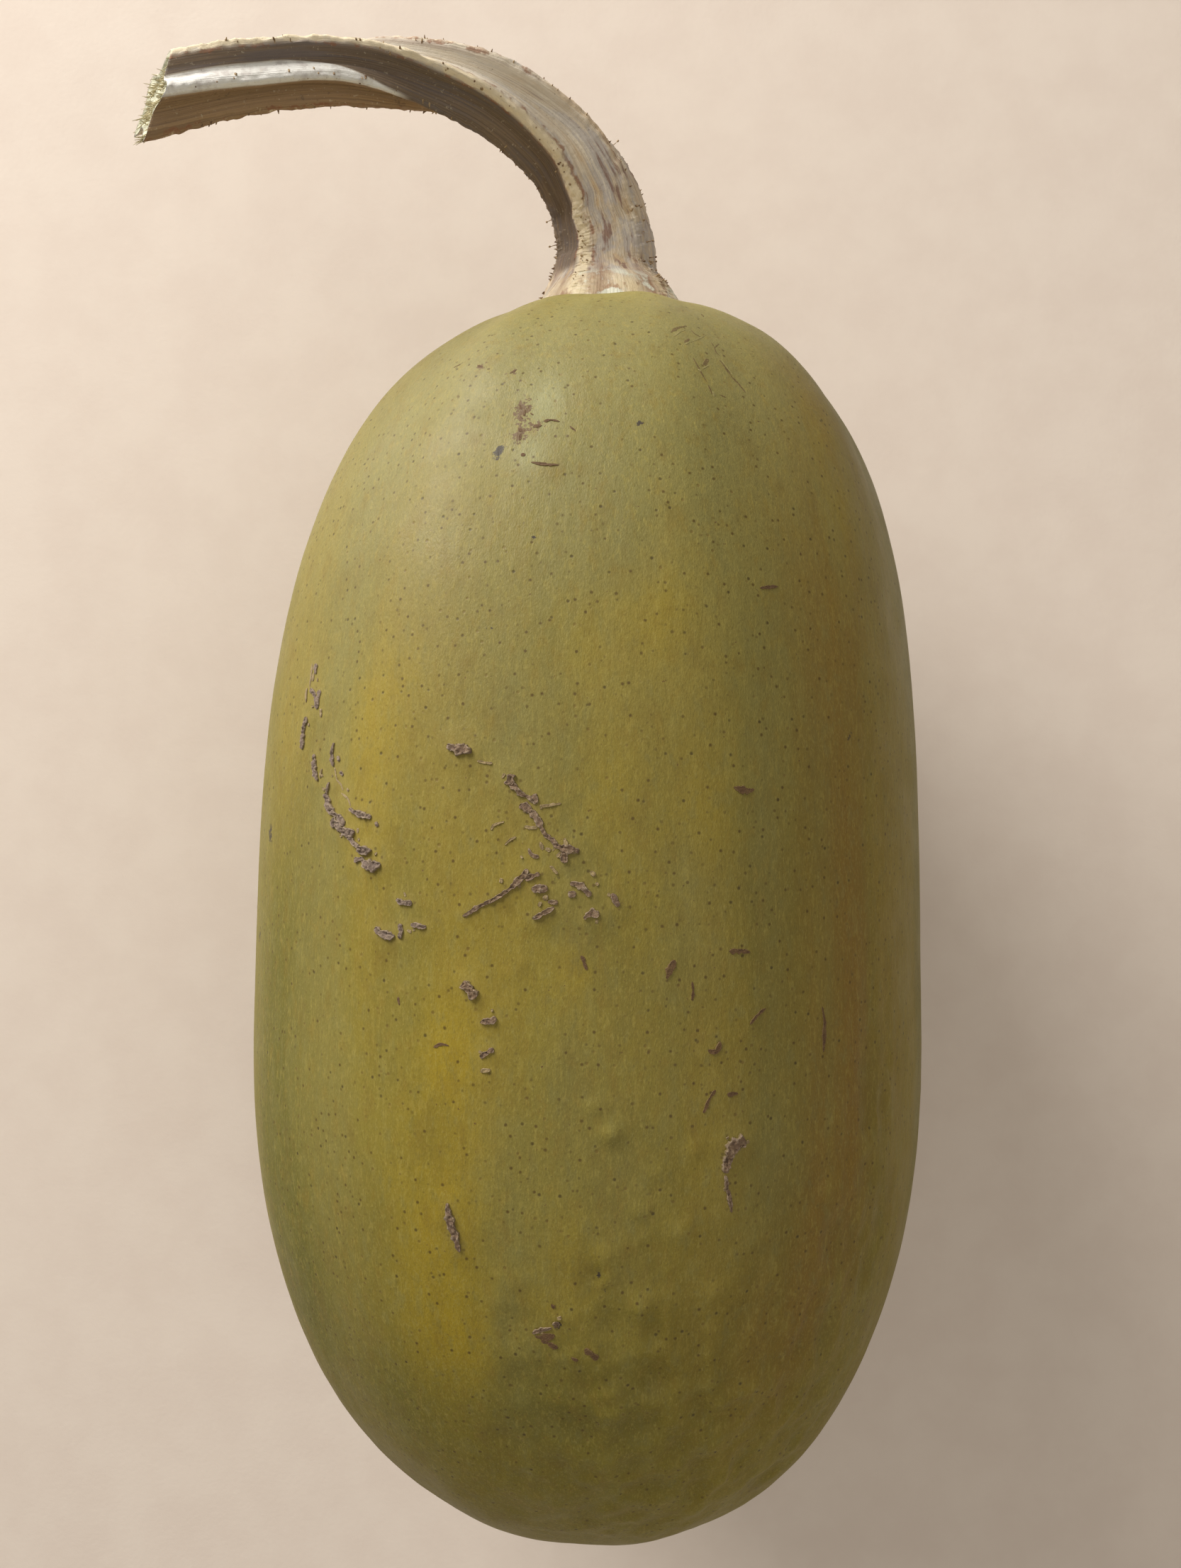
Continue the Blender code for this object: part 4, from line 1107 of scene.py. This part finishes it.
def stem_material():
    """Dry, woody stem: tan with grey and purple-brown streaks, cream, crusty ridges and a pale, waxy foot, with
    painted shade in the deep groove on the inside of the bend, painted light on the pale wall below it near the
    tip, painted shade on the brown lower face and in the foot's hollows, and a painted highlight on the foot.
    """
    f = Finish("dry_stem_skin")
    across = f.node("ShaderNodeCombineXYZ")
    f.feed(across.inputs[0], f.times(f.value("place"), 2.2))
    f.feed(across.inputs[1], f.value("round_x"))
    f.feed(across.inputs[2], f.value("round_y"))
    round_it = across.outputs[0]
    broad = f.noise(f.scaled(round_it, 2.0, 1.6, 1.6), 2.3, 4.0, 0.6)
    streaks = f.noise(f.scaled(round_it, 1.7, 2.8, 2.8), 2.6, 4.0, 0.6)
    fibres = f.noise(f.scaled(round_it, 1.0, 11.0, 11.0), 3.0, 3.0, 0.6)
    blotches = f.noise(f.place(), 420.0, 4.0, 0.65)
    specks = f.noise(f.place(), 1500.0, 3.0, 0.6)
    crest = f.value("crest")
    along = f.value("place")

    f.colour = f.blend(fibres, 0.35, 0.65, (178, 160, 136), (206, 190, 166))
    f.veil(broad, 0.48, 0.58, 0.8, (176, 168, 162))
    f.veil(broad, 0.46, 0.36, 0.7, (192, 164, 126))
    f.veil(streaks, 0.54, 0.66, 0.85, (126, 94, 80))
    f.veil(streaks, 0.46, 0.34, 0.6, (222, 210, 188))
    f.veil(along, 0.5, 0.72, 0.5, (222, 213, 195))
    # Painted shade in the deep groove on the inside of the bend, over its own grey-brown.
    bend_groove_painted_shade = f.blend(fibres, 0.35, 0.65, (86, 69, 54), (118, 96, 72))
    bend_groove_painted_shade = f.blend(streaks, 0.5, 0.62, bend_groove_painted_shade, (96, 88, 88), 0.6)
    f.cover(f.times(f.value("bend_groove_painted_shade"), 0.92), bend_groove_painted_shade)
    # The lower face near the tip: its own brown, partly darkened as painted shade.
    brown_face = f.blend(fibres, 0.35, 0.65, (122, 92, 58), (150, 118, 78))
    brown_face = f.blend(blotches, 0.62, 0.72, brown_face, (84, 60, 40), 0.7)
    f.cover(f.times(f.value("brown_face"), 0.9), brown_face)
    # Painted light on the groove's lower wall near the tip, over its pale flaky skin.
    pale_wall_painted_light = f.blend(blotches, 0.45, 0.7, (230, 228, 222), (198, 192, 186))
    f.cover(f.value("pale_wall_painted_light"), pale_wall_painted_light)
    crusty = f.math("ADD", crest, f.times(f.math("SUBTRACT", blotches, 0.5), 0.7))
    f.veil(crusty, 0.78, 0.95, 0.9, (226, 210, 178))
    rusty = f.times(f.step(crusty, 0.6, 0.74), f.step(crusty, 0.92, 0.8))
    f.cover(f.times(rusty, f.step(blotches, 0.45, 0.6, 0.0, 0.75)), (138, 92, 62))
    f.veil(specks, 0.62, 0.72, 0.4, (206, 194, 168))
    f.veil(specks, 0.36, 0.26, 0.5, (96, 70, 54))
    ragged = f.times(f.math("SUBTRACT", streaks, 0.5), 0.25)
    foot = f.step(f.math("ADD", along, ragged), 0.2, 0.02)
    f.cover(f.times(foot, 0.6), (208, 192, 154))
    # Brown in the foot's hollows, partly darkened as painted shade.
    foot_hollow_brown_and_shade = f.times(f.value("foot_hollow_brown_and_shade"), f.step(broad, 0.38, 0.6, 0.45, 0.95))
    f.cover(foot_hollow_brown_and_shade, (136, 102, 78))
    brown_foot = f.times(foot, f.step(streaks, 0.5, 0.6, 0.0, 0.8))
    f.cover(brown_foot, (134, 92, 54))
    # Painted highlight: a very pale patch on the waxy foot.
    foot_painted_highlight = f.times(f.step(along, 0.22, 0.06), f.step(broad, 0.52, 0.6))
    f.cover(f.times(foot_painted_highlight, 0.8), (212, 214, 196))
    cut_colour = f.blend(blotches, 0.35, 0.6, (150, 148, 122), (202, 200, 176))
    f.cover(f.value("cut"), cut_colour)
    normal = f.bump(fibres, 0.00025, 0.8)
    normal = f.bump(blotches, 0.0002, 0.8, normal)
    normal = f.bump(specks, 0.0001, 0.8, normal)
    roughness = f.step(foot, 0.0, 1.0, 0.74, 0.42)
    return f.finish(roughness, normal)


def fibre_material(name, first, second):
    """Thin dry fibres and prickles with a slight change of colour along and between them."""
    f = Finish(name)
    speckle = f.noise(f.place(), 700.0, 3.0, 0.6)
    f.colour = f.blend(speckle, 0.4, 0.62, first, second)
    return f.finish(0.8, f.bump(speckle, 0.00005, 0.6))


def floor_material():
    """A plain pale surface with a trace of unevenness."""
    f = Finish("pale_floor")
    speckle = f.noise(f.place(), 60.0, 4.0, 0.6)
    f.colour = f.blend(speckle, 0.3, 0.7, (216, 202, 190), (220, 207, 195))
    return f.finish(0.9, f.bump(f.noise(f.place(), 900.0, 3.0, 0.6), 0.0001, 0.3))


def build_floor():
    data = bpy.data.meshes.new("floor")
    corners = [(x * FLOOR_HALF, y * FLOOR_HALF, FLOOR_LEVEL) for x, y in ((-1, -1), (1, -1), (1, 1), (-1, 1))]
    data.from_pydata(corners, [], [(0, 1, 2, 3)])
    data.materials.append(floor_material())
    floor = bpy.data.objects.new("floor", data)
    bpy.context.scene.collection.objects.link(floor)


def add_softbox(name, place, target, size, power, colour):
    """A large square area light, turned towards a target."""
    data = bpy.data.lights.new(name, "AREA")
    data.shape = "SQUARE"
    data.size = size
    data.energy = power
    data.color = colour
    light = bpy.data.objects.new(name, data)
    light.location = place
    light.rotation_euler = (Vector(target) - Vector(place)).to_track_quat("-Z", "Y").to_euler()
    bpy.context.scene.collection.objects.link(light)


def build_lights():
    centre = (0.0, 0.02, 0.06)
    add_softbox("key", (-0.68, 0.9, 0.42), centre, 0.7, 23.5, (1.0, 0.97, 0.92))
    add_softbox("fill", (0.4, -0.35, 1.35), centre, 1.6, 7.0, (1.0, 0.92, 0.8))
    world = bpy.data.worlds.new("soft_room")
    world.use_nodes = True
    background = world.node_tree.nodes["Background"]
    background.inputs["Color"].default_value = (1.0, 0.95, 0.87, 1.0)
    background.inputs["Strength"].default_value = 0.25
    bpy.context.scene.world = world


def build_camera():
    data = bpy.data.cameras.new("camera")
    data.lens = LENS
    data.sensor_width = SENSOR
    data.clip_start = 0.01
    camera = bpy.data.objects.new("camera", data)
    camera.location = tuple(EYE * MM)
    bpy.context.scene.collection.objects.link(camera)
    bpy.context.scene.camera = camera


SEAT_Y = float(outline_stations(RIND_ROWS)[-1])
MAIN_CORKS = lay_marks(CORKY_MARKS)
SCUFFS = lay_marks(FLECKS)
CORKS = MAIN_CORKS + [crumb for mark in MAIN_CORKS for crumb in crumbs_beside(mark)]

build_camera()
build_lights()
build_floor()
build_rind(rind_material())
for name, marks, crust, blunt, finish_name, colours in (
    ("corky_marks", CORKS, 1.0, 4.0, "cork", CORK_COLOURS),
    ("rind_flecks", SCUFFS + stray_scuffs(), 0.7, 2.0, "scuffed_rind", SCUFF_COLOURS),
    # Thin cracks and painted shadows of folds by the stem, then painted highlights on the folds' lips.
    ("rind_cracks_and_crease_shadows", lay_marks(CRACKS_AND_CREASE_SHADOWS), 0.3, 2.0, "crack_and_crease_shadow_paint", CRACK_AND_CREASE_SHADOW_COLOURS),
    ("painted_crease_lip_highlights", lay_marks(CREASE_LIP_HIGHLIGHTS), 0.3, 2.0, "crease_lip_highlight_paint", CREASE_LIP_HIGHLIGHT_COLOURS),
):
    build_marks(name, marks, crust, blunt, cork_material(finish_name, *colours))
build_blossom_scar(cork_material("scar_cork", *SCAR_COLOURS))
build_stem(stem_material())
build_prickles(fibre_material("prickle_skin", (166, 142, 106), (104, 78, 54)))
build_fibres(fibre_material("torn_fibre", (196, 186, 150), (160, 148, 112)))
bpy.context.scene.view_settings.view_transform = "Standard"
